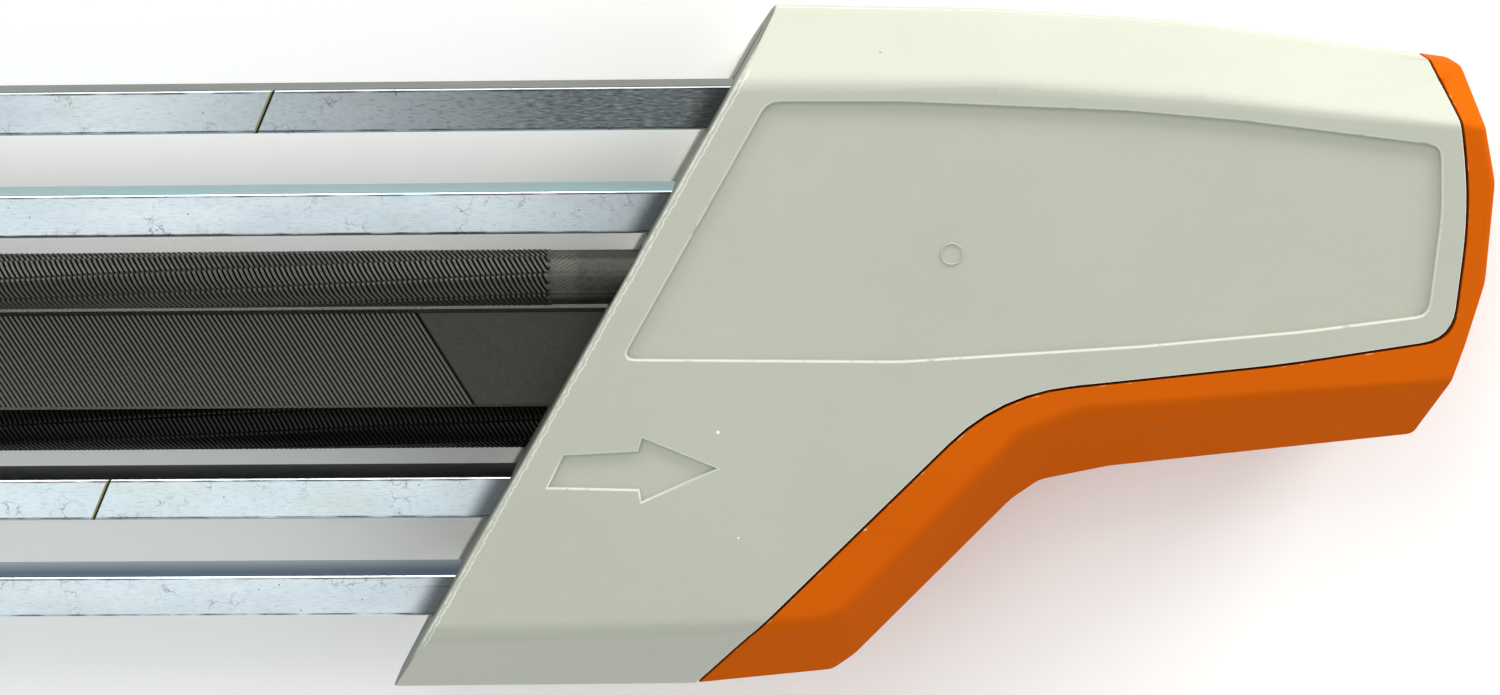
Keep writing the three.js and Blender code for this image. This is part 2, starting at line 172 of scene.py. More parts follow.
def lay_coats(material, finish, coats):
    """Lays coats of colour over a finish, each as far as its mask says."""
    for mask, hex_colour in coats:
        coat = add(material, "ShaderNodeMix", {"data_type": "RGBA", 7: linear(hex_colour)},
                   {0: mask, 6: finish})
        finish = coat.outputs[2]
    return finish


def shade(material, surface, bump):
    add(material, "ShaderNodeOutputMaterial", {}, {"Surface": surface.outputs["BSDF"]})
    material.node_tree.links.new(bump.outputs["Normal"], surface.inputs["Normal"])


# 3a4149 is the dark line of painted reflection along the rails' top edges
print("Dark oily grey in linear light:", [round(c, 3) for c in linear("#3a4149")[:3]])

# %% [markdown]
# The stage
#
# The photograph is a product shot on white. A real table sweep could be curved up behind the tool,
# but the camera looks almost straight down, so one wide pale sheet does. It is no part of the tool.

# %% Floor
FLOOR_WIDTH = 4000
PAPER_GRAIN = 2


def new_piece(name, bm):
    """Turns a bmesh into an object of the scene, with its normals outward."""
    bmesh.ops.recalc_face_normals(bm, faces=bm.faces[:])
    mesh = bpy.data.meshes.new(name)
    bm.to_mesh(mesh)
    bm.free()
    piece = bpy.data.objects.new(name, mesh)
    scene.collection.objects.link(piece)
    return piece


sheet = bmesh.new()
bmesh.ops.create_grid(sheet, x_segments=1, y_segments=1, size=FLOOR_WIDTH * MM / 2)
floor = new_piece("floor", sheet)
paper = new_material("matt_white_paper")
paper_grain = add(paper, "ShaderNodeTexNoise", {"Scale": per_mm(PAPER_GRAIN), "Detail": 3},
                  {"Vector": place(paper)})
paper_bump = add(paper, "ShaderNodeBump", {"Strength": 0.05, "Distance": 0.1 * MM},
                 {"Height": paper_grain.outputs["Fac"]})
paper_surface = add(paper, "ShaderNodeBsdfPrincipled",
                    {"Base Color": linear("#fffdf9"), "Roughness": 0.8})
shade(paper, paper_surface, paper_bump)
floor.data.materials.append(paper)
print("Floor faces:", len(floor.data.polygons))

# %% [markdown]
# Light
#
# The photograph's light can be read from its shadows. The floor under the rails is white almost up
# to the last rail, so one light is low and comes from the far side, under the tool. The dark line
# beside the last rail comes from a second one that stands high. A third brightens the handle's
# rear. The rest is an even white surround, which the plated rails mirror. Straight overhead it has
# a soft dark spot, as the camera and its holder leave in the upper faces of the rails.

# %% Surround
SPOT_TOWARDS = (0.02, -0.05, 1)
SPOT_INNER, SPOT_OUTER = 0.06, 0.32
HORIZON_HEIGHT = 0.3
SURROUND = 0.96

scene.view_settings.view_transform = "Standard"
scene.view_settings.look = "None"

world = bpy.data.worlds.new("white_studio")
world.use_nodes = True
scene.world = world
looking = add(world, "ShaderNodeTexCoord", {})
axes = add(world, "ShaderNodeSeparateXYZ", {}, {"Vector": looking.outputs["Generated"]})
height = add(world, "ShaderNodeMapRange", {"From Min": 0, "From Max": HORIZON_HEIGHT},
             {"Value": axes.outputs["Z"]})
dome = add(world, "ShaderNodeMix",
           {"data_type": "RGBA", 6: linear("#b4b7b9"), 7: linear("#f8fcff")},
           {0: height.outputs["Result"]})
from_spot = add(world, "ShaderNodeVectorMath",
                {"operation": "DISTANCE", 1: Vector(SPOT_TOWARDS).normalized()},
                {0: looking.outputs["Generated"]})
spot_edge = add(world, "ShaderNodeMapRange",
                {"From Min": SPOT_INNER, "From Max": SPOT_OUTER,
                 "interpolation_type": "SMOOTHSTEP"},
                {"Value": from_spot.outputs["Value"]})
sky = add(world, "ShaderNodeMix", {"data_type": "RGBA", 6: linear("#7c7f81")},
          {0: spot_edge.outputs["Result"], 7: dome.outputs[2]})
background = world.node_tree.nodes["Background"]
background.inputs["Strength"].default_value = SURROUND
world.node_tree.links.new(sky.outputs[2], background.inputs["Color"])
print("Surround strength:", SURROUND)

# %% Lamps
PANELS_AIM = (110, 10, 12)
# Name, place in mm, width and height in mm, watts, colour
PANELS = [
    ("far_panel", (-40, 620, 185), 420, 120, 1.6, "#fffefa"),
    ("high_panel", (20, 380, 500), 200, 200, 0.55, "#ffffff"),
    ("rear_panel", (430, 330, 120), 200, 110, 1.3, "#ffffff"),
]

for name, spot, width, tall, watts, colour in PANELS:
    lamp_data = bpy.data.lights.new(name, "AREA")
    lamp_data.shape = "RECTANGLE"
    lamp_data.size = width * MM
    lamp_data.size_y = tall * MM
    lamp_data.energy = watts
    lamp_data.color = linear(colour)[:3]
    lamp = bpy.data.objects.new(name, lamp_data)
    lamp.location = Vector(spot) * MM
    towards = Vector(PANELS_AIM) * MM - lamp.location
    lamp.rotation_euler = towards.to_track_quat("-Z", "Y").to_euler()
    scene.collection.objects.link(lamp)
print("Lamps:", [panel[0] for panel in PANELS])

# %% [markdown]
# Moulded plastics
#
# The handle shells are glass-filled nylon, injection moulded in a mould with a fine sparked
# texture. To the eye that is a matt, slightly greenish grey with a soft sheen, a very fine grain,
# and a few pale and dark specks from use. A flat grey would look like paper, so the grain goes
# into the bump, and clouds and specks into the colour. The slanted front has seen the most use: its
# lip is scuffed pale under a painted highlight, and the wall below it is darkened by painted shade.
# The lock slides are nylon too, in orange, and the hidden yokes and file seats are black acetal,
# which steel slides on easily. Both come from smoother moulds, so their grain is shallower.

# %% Signs of use on the plastics
HALF_SPAN = 104
HALF_THICKNESS = 12.5
FRONT_SLOPE = math.tan(math.radians(30))
# Radius of the widest nick, as a share of its cell
WIDEST_FLECK = 0.04
# Where the pale lines of scuffs and painted highlight start and end, in mm beyond the front's edge
LIP_LINES = ((-1, 0.1), (0.34, 0.46))
LIP_HEIGHT = 1.2
LIP_SWAY = 0.25
# How far the painted shade on the front wall reaches, in mm
FRONT_SHADE_DEPTH = 0.16
FRONT_SHADE_HEIGHT = 8.5


def flecks(material, size, share):
    """A mask of small round nicks: a share of the cells of this size has one in its middle."""
    cells = add(material, "ShaderNodeTexVoronoi", {"Scale": per_mm(size)},
                {"Vector": place(material)})
    cell = add(material, "ShaderNodeSeparateColor", {}, {"Color": cells.outputs["Color"]})
    # The nicks differ in width from cell to cell
    width = product(material, cell.outputs["Green"], WIDEST_FLECK)
    inside = add(material, "ShaderNodeMath", {"operation": "LESS_THAN"},
                 {0: cells.outputs["Distance"], 1: width})
    chosen = add(material, "ShaderNodeMath", {"operation": "LESS_THAN"},
                 {0: cell.outputs["Red"], 1: share})
    return product(material, inside.outputs["Value"], chosen.outputs["Value"])


def from_slanted_middle(material):
    """The distance along X from the slanted middle line, which is parallel to both fronts."""
    along, across, _ = lengths(material)
    slanted = add(material, "ShaderNodeMath", {"operation": "MULTIPLY_ADD", 1: -FRONT_SLOPE},
                  {0: across, 2: along})
    return away_from(material, slanted.outputs["Value"], 0)


def scuffed_and_highlit_lip(plastic):
    """A mask of the pale, ragged lines along the top of the slanted front: scuffs, with a painted
    highlight over them.
    """
    wander = add(plastic, "ShaderNodeTexNoise", {"Scale": per_mm(0.6), "Detail": 3},
                 {"Vector": place(plastic)})
    sway = add(plastic, "ShaderNodeMapRange", {"To Min": -LIP_SWAY * MM, "To Max": LIP_SWAY * MM},
               {"Value": wander.outputs["Fac"]})
    ragged = add(plastic, "ShaderNodeMath", {"operation": "ADD"},
                 {0: from_slanted_middle(plastic), 1: sway.outputs["Result"]})
    lines = [band(plastic, ragged.outputs["Value"], HALF_SPAN + low, HALF_SPAN + high, 0.04)
             for low, high in LIP_LINES]
    either = add(plastic, "ShaderNodeMath", {"operation": "MAXIMUM"}, dict(enumerate(lines)))
    off_level = away_from(plastic, lengths(plastic)[2], HALF_THICKNESS)
    at_top = band(plastic, off_level, HALF_THICKNESS - LIP_HEIGHT, HALF_THICKNESS + 1, 0.3)
    return product(plastic, either.outputs["Value"], at_top, 0.55)


def painted_front_shade(plastic):
    """A mask of painted shade on the front wall, fading out towards the lip."""
    on_wall = band(plastic, from_slanted_middle(plastic), HALF_SPAN - 1, HALF_SPAN + FRONT_SHADE_DEPTH,
                   0.03)
    off_level = away_from(plastic, lengths(plastic)[2], HALF_THICKNESS)
    return product(plastic, on_wall, band(plastic, off_level, -1, FRONT_SHADE_HEIGHT, 1.6), 0.85)


def worn_and_highlit_rim(plastic, rim_from):
    """The rims along the seam carry a "rim" mark, and are worn pale, with a painted highlight,
    where a patchy noise is high.
    """
    rim = add(plastic, "ShaderNodeAttribute", {"attribute_name": "rim"})
    patches = add(plastic, "ShaderNodeTexNoise", {"Scale": per_mm(1.2), "Detail": 3},
                  {"Vector": place(plastic)})
    worn = add(plastic, "ShaderNodeMapRange",
               {"From Min": rim_from, "From Max": rim_from + 0.08, "To Max": 0.8},
               {"Value": patches.outputs["Fac"]})
    return product(plastic, rim.outputs["Fac"], worn.outputs["Result"])


# The front wall's darkening is painted shade
print("Front walls are dirty up to, mm:", HALF_THICKNESS + FRONT_SHADE_HEIGHT)

# %% Moulded plastics
CLOUD_SIZE = 14
# The sparked grain is about 0.12 mm wide, drawn at 0.25 mm so that it shows
SPARK_GRAIN = 0.25
DARK_SPECK_CELL, PALE_NICK_CELL = 4.6, 4
FLECKED_SHARE = 0.5
SHEEN_SPREAD = 0.06


def moulded_plastic(name, pale, deep, fleck, roughness, grain_depth, rim_from, gloss=0.5):
    """A sparked, injection moulded surface: clouds, fine grain, flecks, worn rims and a scuffed lip
    under a painted highlight, and painted shade on the front wall.
    """
    plastic = new_material(name)
    where = place(plastic)
    clouds = add(plastic, "ShaderNodeTexNoise",
                 {"Scale": per_mm(CLOUD_SIZE), "Detail": 5, "Roughness": 0.65}, {"Vector": where})
    base = add(plastic, "ShaderNodeMix", {"data_type": "RGBA", 6: linear(deep), 7: linear(pale)},
               {0: clouds.outputs["Fac"]})
    finish = lay_coats(plastic, base.outputs[2], [
        (flecks(plastic, DARK_SPECK_CELL, FLECKED_SHARE), "#75766c"),
        (flecks(plastic, PALE_NICK_CELL, FLECKED_SHARE), fleck),
        # Pale scuffs on the lip, with a painted highlight
        (scuffed_and_highlit_lip(plastic), fleck),
        # Rims worn pale, with a painted highlight
        (worn_and_highlit_rim(plastic, rim_from), fleck),
        # Painted shade on the front wall below the lip
        (painted_front_shade(plastic), "#45443b")])
    grain = add(plastic, "ShaderNodeTexNoise", {"Scale": per_mm(SPARK_GRAIN), "Detail": 2},
                {"Vector": where})
    bump = add(plastic, "ShaderNodeBump", {"Strength": 0.4, "Distance": grain_depth * MM},
               {"Height": grain.outputs["Fac"]})
    sheen = add(plastic, "ShaderNodeMapRange",
                {"To Min": roughness - SHEEN_SPREAD, "To Max": roughness + SHEEN_SPREAD},
                {"Value": grain.outputs["Fac"]})
    surface = add(plastic, "ShaderNodeBsdfPrincipled", {"Specular IOR Level": gloss},
                  {"Base Color": finish, "Roughness": sheen.outputs["Result"]})
    shade(plastic, surface, bump)
    return plastic


shell_grey = moulded_plastic("moulded_nylon_grey", "#b3b5a5", "#a9ab9c", "#e9ebe0", 0.5, 0.035, 0.3)
# The orange keeps its depth at every angle, so hardly any gloss lies over it
slide_orange = moulded_plastic("moulded_nylon_orange", "#ca5c0b", "#bd540a", "#f3b07c",
                               0.45, 0.02, 0.6, gloss=0.001)
polymer_black = moulded_plastic("moulded_acetal_black", "#2f3132", "#27292a", "#3c3e3f",
                                0.45, 0.02, 0.9)
print("Plastics:", shell_grey.name, slide_orange.name, polymer_black.name)

# %% [markdown]
# Bright zinc plate
#
# The rails are drawn steel, zinc plated and blue passivated. The plate is bright and bluish, with
# draw lines along the bar, cloudy patches, fine crack-like scratches and a few dark pits. Towards
# the handle two rails carry a painted dark reflection, and each rail carries the handle's painted
# dark reflection where it enters one. The upright sides towards +Y, which the camera sees as thin
# strips, each carry a painted reflection of their own, from pale blue to almost black, and the
# edges of the tops a broken dark line of painted reflection. Rails 1 and 3 carry a painted angle
# mark, a dark slanted line with a pale yellow edge.

# %% Zinc plate patterns
CRACK_CELL = 1.5
CRACK_BEND = 1.6
PIT_CELL = 0.9
UNPITTED_SHARE = 0.82
# Where the painted dark reflection on a rail's top ramps in, and how far its border wanders
REFLECTION_RAMP = (-4, 34)
REFLECTION_CLOUDING = 12


def noise_coats(zinc, pattern, steps):
    """Coats that follow a noise: each fades in between two values of it, up to a most."""
    coats = []
    for low, high, most, hex_colour in steps:
        tint = add(zinc, "ShaderNodeMapRange", {"From Min": low, "From Max": high, "To Max": most},
                   {"Value": pattern.outputs["Fac"]})
        coats.append((tint.outputs["Result"], hex_colour))
    return coats


def cracks_and_pits(zinc, patches):
    """A mask of the wear: crack-like scratches and small pits, both 0.1 to 0.2 mm wide."""
    where = place(zinc)
    # A crack is the border of a bent cell, kept only in small patches
    bend = add(zinc, "ShaderNodeTexNoise", {"Scale": per_mm(0.9), "Detail": 4}, {"Vector": where})
    bent = add(zinc, "ShaderNodeVectorMath",
               {"operation": "MULTIPLY_ADD", 1: (CRACK_BEND * MM,) * 3},
               {0: bend.outputs["Color"], 2: where})
    cells = add(zinc, "ShaderNodeTexVoronoi",
                {"feature": "DISTANCE_TO_EDGE", "Scale": per_mm(CRACK_CELL)},
                {"Vector": bent.outputs["Vector"]})
    line = add(zinc, "ShaderNodeMapRange", {"From Min": 0.045, "From Max": 0.0},
               {"Value": cells.outputs["Distance"]})
    kept = add(zinc, "ShaderNodeMapRange", {"From Min": 0.53, "From Max": 0.66},
               {"Value": patches.outputs["Fac"]})
    crack = product(zinc, line.outputs["Result"], kept.outputs["Result"])
    dots = add(zinc, "ShaderNodeTexVoronoi", {"Scale": per_mm(PIT_CELL)}, {"Vector": where})
    dot = add(zinc, "ShaderNodeMapRange", {"From Min": 0.12, "From Max": 0.06},
              {"Value": dots.outputs["Distance"]})
    cell = add(zinc, "ShaderNodeSeparateColor", {}, {"Color": dots.outputs["Color"]})
    pitted = add(zinc, "ShaderNodeMath", {"operation": "GREATER_THAN"},
                 {0: cell.outputs["Red"], 1: UNPITTED_SHARE})
    pit = product(zinc, dot.outputs["Result"], pitted.outputs["Value"])
    wear = add(zinc, "ShaderNodeMath", {"operation": "MAXIMUM"}, {0: pit, 1: crack})
    return wear.outputs["Value"]


def painted_reflection_mask(zinc, clouds, reflection_from):
    """A mask of painted dark reflection towards one end, over nearly 40 mm, with cloudy borders."""
    ragged = add(zinc, "ShaderNodeMath", {"operation": "MULTIPLY_ADD", 1: REFLECTION_CLOUDING * MM},
                 {0: clouds.outputs["Fac"], 2: lengths(zinc)[0]})
    low, high = (reflection_from + step for step in REFLECTION_RAMP)
    dark_reflection = add(zinc, "ShaderNodeMapRange",
               {"From Min": low * MM, "From Max": high * MM, "To Max": 0.9},
               {"Value": ragged.outputs["Value"]})
    return dark_reflection.outputs["Result"]


print("Crack cells, mm:", CRACK_CELL)

# %% Shades of a rail
# Over the rail's width, from its middle: where its top ends, and where its upright side begins
TOP_EDGE = 1.7
SIDE_EDGE = 1.78
EDGE_LINE = 0.14
PAST_SIDE = 3
# The handle's painted dark reflection on a rail, in mm short of the handle's front: from where it
# shows, and is full
HANDLE_REFLECTION_RAMP = (-2.6, -0.6)


def rail_coats(zinc, side, middle_y, patches):
    """Painted reflections on the side towards +Y, along the top's edges, and of the handles near
    them.
    """
    across = lengths(zinc)[1]
    width = away_from(zinc, across, middle_y)
    on_side = band(zinc, across, middle_y + SIDE_EDGE, middle_y + PAST_SIDE, 0.04)
    # A broken dark line along each edge of the top: a painted reflection
    broken = add(zinc, "ShaderNodeMapRange",
                 {"From Min": 0.34, "From Max": 0.56, "To Min": 0.15, "To Max": 0.9},
                 {"Value": patches.outputs["Fac"]})
    edge = product(zinc, band(zinc, width, TOP_EDGE - EDGE_LINE, TOP_EDGE, 0.04),
                   broken.outputs["Result"])
    # The handle's painted dark reflection on the top, close to the handle
    low, high = (HALF_SPAN + step for step in HANDLE_REFLECTION_RAMP)
    near = add(zinc, "ShaderNodeMapRange",
               {"From Min": low * MM, "From Max": high * MM, "To Max": 0.8,
                "interpolation_type": "SMOOTHSTEP"}, {"Value": from_slanted_middle(zinc)})
    handle_reflection = product(zinc, near.outputs["Result"], band(zinc, width, -1, TOP_EDGE, 0.03))
    # Painted reflections: the side's shade, the dark edge lines and the handle's dark reflection
    return [(on_side, side), (edge, "#3a4149"), (handle_reflection, "#333b38")]


# The dark patch near the handles is the handle's painted reflection
print("Dust starts short of the handles, mm:", -HANDLE_REFLECTION_RAMP[0])

# %% Zinc plate
PLATE_CLOUDS = 7
FILM_CLOUDS = 9
WEAR_PATCHES = 3
# Draw lines left by the die are about 0.05 mm apart, drawn at 0.15 mm so that they show
DRAW_LINES = 0.15
HAZE = (0.24, 0.42)
# Low and high value of the noise, most, colour
FILM = ((0.52, 0.66, 0.35, "#dce3c6"), (0.46, 0.34, 0.18, "#cfc6d8"))
STREAK = ((0.5, 0.75, 0.28, "#848e94"),)
# Bright and dark runs within the painted dark reflection
REFLECTION_RUNS = ((0.52, 0.66, 0.6, "#a4abad"), (0.46, 0.34, 0.6, "#2f3436"))


def zinc_plate(name, pale, deep, side=None, middle_y=0, reflection_from=None):
    """Blue passivated zinc. A rail's +Y side, and maybe its top, carry painted reflections."""
    zinc = new_material(name)
    where = place(zinc)
    clouds = add(zinc, "ShaderNodeTexNoise",
                 {"Scale": per_mm(PLATE_CLOUDS), "Detail": 6, "Roughness": 0.7},
                 {"Vector": place(zinc, (0.35, 1, 1))})
    spread = add(zinc, "ShaderNodeMapRange", {"From Min": 0.32, "From Max": 0.68},
                 {"Value": clouds.outputs["Fac"]})
    base = add(zinc, "ShaderNodeMix", {"data_type": "RGBA", 6: linear(deep), 7: linear(pale)},
               {0: spread.outputs["Result"]})
    # The passivating film is a little yellow in some places and a little violet in others
    film = add(zinc, "ShaderNodeTexNoise", {"Scale": per_mm(FILM_CLOUDS), "Detail": 4},
               {"Vector": place(zinc, (0.5, 1, 1))})
    patches = add(zinc, "ShaderNodeTexNoise", {"Scale": per_mm(WEAR_PATCHES), "Detail": 3},
                  {"Vector": where})
    lines = add(zinc, "ShaderNodeTexNoise", {"Scale": per_mm(DRAW_LINES), "Detail": 3},
                {"Vector": place(zinc, (0.18, 1, 1))})
    wear = cracks_and_pits(zinc, patches)
    dark_reflection, runs = [], []
    if reflection_from is not None:
        # Within the painted dark reflection, the draw lines show as short bright and dark runs
        on_top = band(zinc, lengths(zinc)[1], middle_y - TOP_EDGE, middle_y + TOP_EDGE, 0.03)
        reflection_on_top = product(zinc, painted_reflection_mask(zinc, clouds, reflection_from), on_top)
        dark_reflection = [(reflection_on_top, "#5c615f")]
        runs = [(product(zinc, run, reflection_on_top), hex_colour)
                for run, hex_colour in noise_coats(zinc, lines, REFLECTION_RUNS)]
    coats = noise_coats(zinc, film, FILM) + dark_reflection + [(product(zinc, wear, 0.7), "#4d555e")]
    coats += noise_coats(zinc, lines, STREAK) + runs
    # A rail's side colour is a painted reflection
    if side is not None:
        coats += rail_coats(zinc, side, middle_y, patches)
    depth = add(zinc, "ShaderNodeMath", {"operation": "SUBTRACT"},
                {0: lines.outputs["Fac"], 1: wear})
    bump = add(zinc, "ShaderNodeBump", {"Strength": 0.3, "Distance": 0.02 * MM},
               {"Height": depth.outputs["Value"]})
    haze = add(zinc, "ShaderNodeMapRange", {"To Min": HAZE[0], "To Max": HAZE[1]},
               {"Value": clouds.outputs["Fac"]})
    surface = add(zinc, "ShaderNodeBsdfPrincipled", {"Metallic": 0.85},
                  {"Base Color": lay_coats(zinc, base.outputs[2], coats),
                   "Roughness": haze.outputs["Result"]})
    shade(zinc, surface, bump)
    return zinc


INNER_RAIL, OUTER_RAIL = 12.48, 21.3
# Pale, deep, painted reflection on the upright side, middle of the rail across the tool, and from
# where the top carries a painted dark reflection
RAIL_LOOKS = [
    ("#eef7fb", "#ced9de", "#3f4339", OUTER_RAIL, 76),
    ("#f4fcff", "#dce9ef", "#92b8be", INNER_RAIL, 106),
    ("#eefafd", "#dceaef", "#080d0f", -INNER_RAIL),
    ("#ecf6f9", "#d4e1e6", "#56728c", -OUTER_RAIL),
]
zinc_plain = zinc_plate("zinc_plated_steel", "#eef5f9", "#d5e0e7")
zinc_rails = [zinc_plate(f"zinc_plated_rail_{number}", *look)
              for number, look in enumerate(RAIL_LOOKS, start=1)]
print("Zinc plate nodes:", len(zinc_rails[0].node_tree.nodes))

# %% Marks and the last rail's side
RAIL_TOP = 15
MARK_SLANT = 0.46
# Each stroke's start and end along the rail, and its colour
MARK_STROKES = ((-0.26, -0.08, "#98935a"), (-0.1, 0.12, "#171810"))
# How far below the rail's top the last rail's painted side reflection starts to pale, and is palest
PALING = (1.4, 4.6)


def recolour(material, coats):
    """Lays more coats over a material's own finish."""
    colour = material.node_tree.nodes["Principled BSDF"].inputs["Base Color"]
    finish = lay_coats(material, colour.links[0].from_socket, coats)
    material.node_tree.links.new(finish, colour)


def paint_mark(zinc, mark_x, mark_y):
    """Paints a slanted line across a rail's upper face: dark, with a thin yellowish left border."""
    along, across, up = lengths(zinc)
    on_top = band(zinc, up, RAIL_TOP - 0.2, RAIL_TOP + 1, 0.1)
    slant = add(zinc, "ShaderNodeMath", {"operation": "MULTIPLY_ADD", 1: -MARK_SLANT},
                {0: across, 2: along})
    start = mark_x - MARK_SLANT * mark_y
    for low, high, hex_colour in MARK_STROKES:
        stroke = band(zinc, slant.outputs["Value"], start + low, start + high, 0.04)
        recolour(zinc, [(product(zinc, stroke, on_top), hex_colour)])


def paint_low_side_reflection(zinc, middle_y):
    """Makes the painted reflection on the side towards +Y paler towards its lower edge."""
    _, across, up = lengths(zinc)
    on_side = band(zinc, across, middle_y + SIDE_EDGE, middle_y + PAST_SIDE, 0.04)
    low = add(zinc, "ShaderNodeMapRange",
              {"From Min": (RAIL_TOP - PALING[0]) * MM, "From Max": (RAIL_TOP - PALING[1]) * MM},
              {"Value": up})
    recolour(zinc, [(product(zinc, on_side, low.outputs["Result"]), "#bccdd8")])


# The last rail's side: a painted reflection, paler low down
paint_low_side_reflection(zinc_rails[3], -OUTER_RAIL)
paint_mark(zinc_rails[0], 78.0, 21.2)
paint_mark(zinc_rails[2], 62.2, -12.45)
print("Marks painted on:", zinc_rails[0].name, zinc_rails[2].name)

# %% [markdown]
# File steel and spring steel
#
# Files are hardened carbon steel, left dark from the quench and wiped with oil. The teeth below are
# real geometry, so the steel itself needs little: a dark warm grey, a dull metal shine and faint
# grinding lines, with painted shade in the gullets and a painted highlight on the tips. Painted
# shade darkens the lower round file. Spring strip is the same kind of steel, cold rolled bright.

# %% Steels
STEEL_SPREAD = 0.08


def bare_steel(name, pale, deep, roughness, grain, patch):
    """Bare steel: uneven patches of shade, and fine lines along the bar left by its making."""
    steel = new_material(name)
    clouds = add(steel, "ShaderNodeTexNoise", {"Scale": per_mm(patch), "Detail": 5},
                 {"Vector": place(steel)})
    colour = add(steel, "ShaderNodeMix", {"data_type": "RGBA", 6: linear(deep), 7: linear(pale)},
                 {0: clouds.outputs["Fac"]})
    lines = add(steel, "ShaderNodeTexNoise", {"Scale": per_mm(grain), "Detail": 3},
                {"Vector": place(steel, (0.05, 1, 1))})
    bump = add(steel, "ShaderNodeBump", {"Strength": 0.3, "Distance": 0.01 * MM},
               {"Height": lines.outputs["Fac"]})
    haze = add(steel, "ShaderNodeMapRange",
               {"To Min": roughness - STEEL_SPREAD, "To Max": roughness + STEEL_SPREAD},
               {"Value": clouds.outputs["Fac"]})
    surface = add(steel, "ShaderNodeBsdfPrincipled", {"Metallic": 0.9},
                  {"Base Color": colour.outputs[2], "Roughness": haze.outputs["Result"]})
    shade(steel, surface, bump)
    return steel


def gullets_and_lands(steel, height, bottom, shank, top, tip_highlight):
    """Painted shade darkens the gullets, and a painted highlight brightens the tips of the teeth.
    """
    dark = add(steel, "ShaderNodeMapRange",
               {"From Min": shank * MM, "From Max": bottom * MM, "To Max": 0.95},
               {"Value": height})
    bright = add(steel, "ShaderNodeMapRange",
                 {"From Min": shank * MM, "From Max": top * MM, "To Max": tip_highlight},
                 {"Value": height})
    return [(dark.outputs["Result"], "#141413"), (bright.outputs["Result"], "#a3a097")]


spring_steel = bare_steel("cold_rolled_spring_steel", "#a9adb2", "#8e9297", 0.28, 0.12, 3)
print("Spring strip:", spring_steel.name)

# %% Flat file steel
# From the file's middle plane: bottom of the gullets, level of the smooth ends, tips of the teeth
FLAT_LEVELS = (2.98, 3.12, 3.15)
# Across from its middle: where its smooth ground edge begins, and a place past its end
GROUND_EDGE = (4.03, 6)

file_steel = bare_steel("hardened_file_steel", "#53514a", "#3a3833", 0.45, 0.12, 0.25)
_, across, up = lengths(file_steel)
flat_height = away_from(file_steel, up, HALF_THICKNESS)
flat_width = away_from(file_steel, across, 0)
# Painted shade in the gullets and a painted highlight on the tips
recolour(file_steel, gullets_and_lands(file_steel, flat_height, *FLAT_LEVELS, 0.35)
         + [(band(file_steel, flat_width, *GROUND_EDGE, 0.03), "#86837b")])
print("Flat file:", file_steel.name)

# %% Round file steel
# Across and up from the middle of the tool to the upper file's axis
ROUND_AXIS = (7.2, 3.94)
# From a file's axis: bottom of the gullets, the smooth ends, tips of the teeth
ROUND_LEVELS = (2.14, 2.26, 2.4)
# Where the teeth end, the blank was scored by a slanted stone, a line every quarter millimetre
SCORING = (102.2, 104.3)
SCORE_PITCH = 0.25
# At a scale of 1, a wave texture's lines are this far apart
WAVE_PERIOD = 0.314

round_steel = bare_steel("hardened_round_file_steel", "#504f49", "#1f1e1c", 0.5, 0.2, 0.4)
along, across, up = lengths(round_steel)
# The lower file is the upper one turned about the tool's middle, so one distance serves both
which = add(round_steel, "ShaderNodeMath", {"operation": "SIGN"}, {0: across}).outputs["Value"]
over_middle = add(round_steel, "ShaderNodeMath",
                  {"operation": "SUBTRACT", 1: HALF_THICKNESS * MM}, {0: up})
turned = add(round_steel, "ShaderNodeCombineXYZ", {},
             {"X": away_from(round_steel, across, 0),
              "Y": product(round_steel, over_middle.outputs["Value"], which)})
radius = add(round_steel, "ShaderNodeVectorMath",
             {"operation": "DISTANCE", 1: (ROUND_AXIS[0] * MM, ROUND_AXIS[1] * MM, 0)},
             {0: turned.outputs["Vector"]})
stone = add(round_steel, "ShaderNodeTexWave",
            {"Scale": per_mm(SCORE_PITCH) * WAVE_PERIOD, "Distortion": 1.5, "Detail": 2,
             "Detail Scale": 0.5, "bands_direction": "Y"},
            {"Vector": place(round_steel, turn=math.radians(-30))})
scored = product(round_steel, stone.outputs["Fac"],
                 band(round_steel, product(round_steel, along, which), *SCORING, 0.3))
# Painted shade: the lower round file, which lies under the others, is darkened
lower_file_painted_shade = add(round_steel, "ShaderNodeMath", {"operation": "LESS_THAN", 1: 0}, {0: across})
# Painted shade in the gullets and a painted highlight on the tips
recolour(round_steel, gullets_and_lands(round_steel, radius.outputs["Value"], *ROUND_LEVELS, 0.15)
         + [(product(round_steel, scored, 0.2), "#8f8c85"),
            (product(round_steel, lower_file_painted_shade.outputs["Value"], 0.6), "#0c0c0b")])
print("Round files:", round_steel.name)

# %% [markdown]
# The handle's outer form
#
# A handle is a flat slab whose broad faces stop at a soft ridge, from where the sides slope out to
# an upright band at mid height. It could be sculpted, but a moulded part has clean lines, so it is
# drawn from one outline of 15 corners: each has a place on the widest line and one on the ridge.
# A bevel tool would round the edges too, but it crosses itself where short edges meet, so the
# roundings are short Bezier curves. One face is extruded from level to level, and its corners are
# settled on the curve each time.

# %% Handle sizes and outline
HANDLE_REACH = 77
HANDLE_HALF_WIDTH = 29.7
HALF_BAND = 2.5
# How far the form stays inside the measured faces
SKIN = 0.02
# How far before and after a corner its rounding starts, and the most of the way to the next one
CORNER_CUT = 0.5
LONGEST_CUT = 0.42
BAND_CUT = 0.6
FRONT_LIP = 0.3
# Steps in the rounding of a corner, of the band's edge and of the ridge
CORNER_STEPS, BAND_STEPS, RIDGE_STEPS = 3, 3, 4

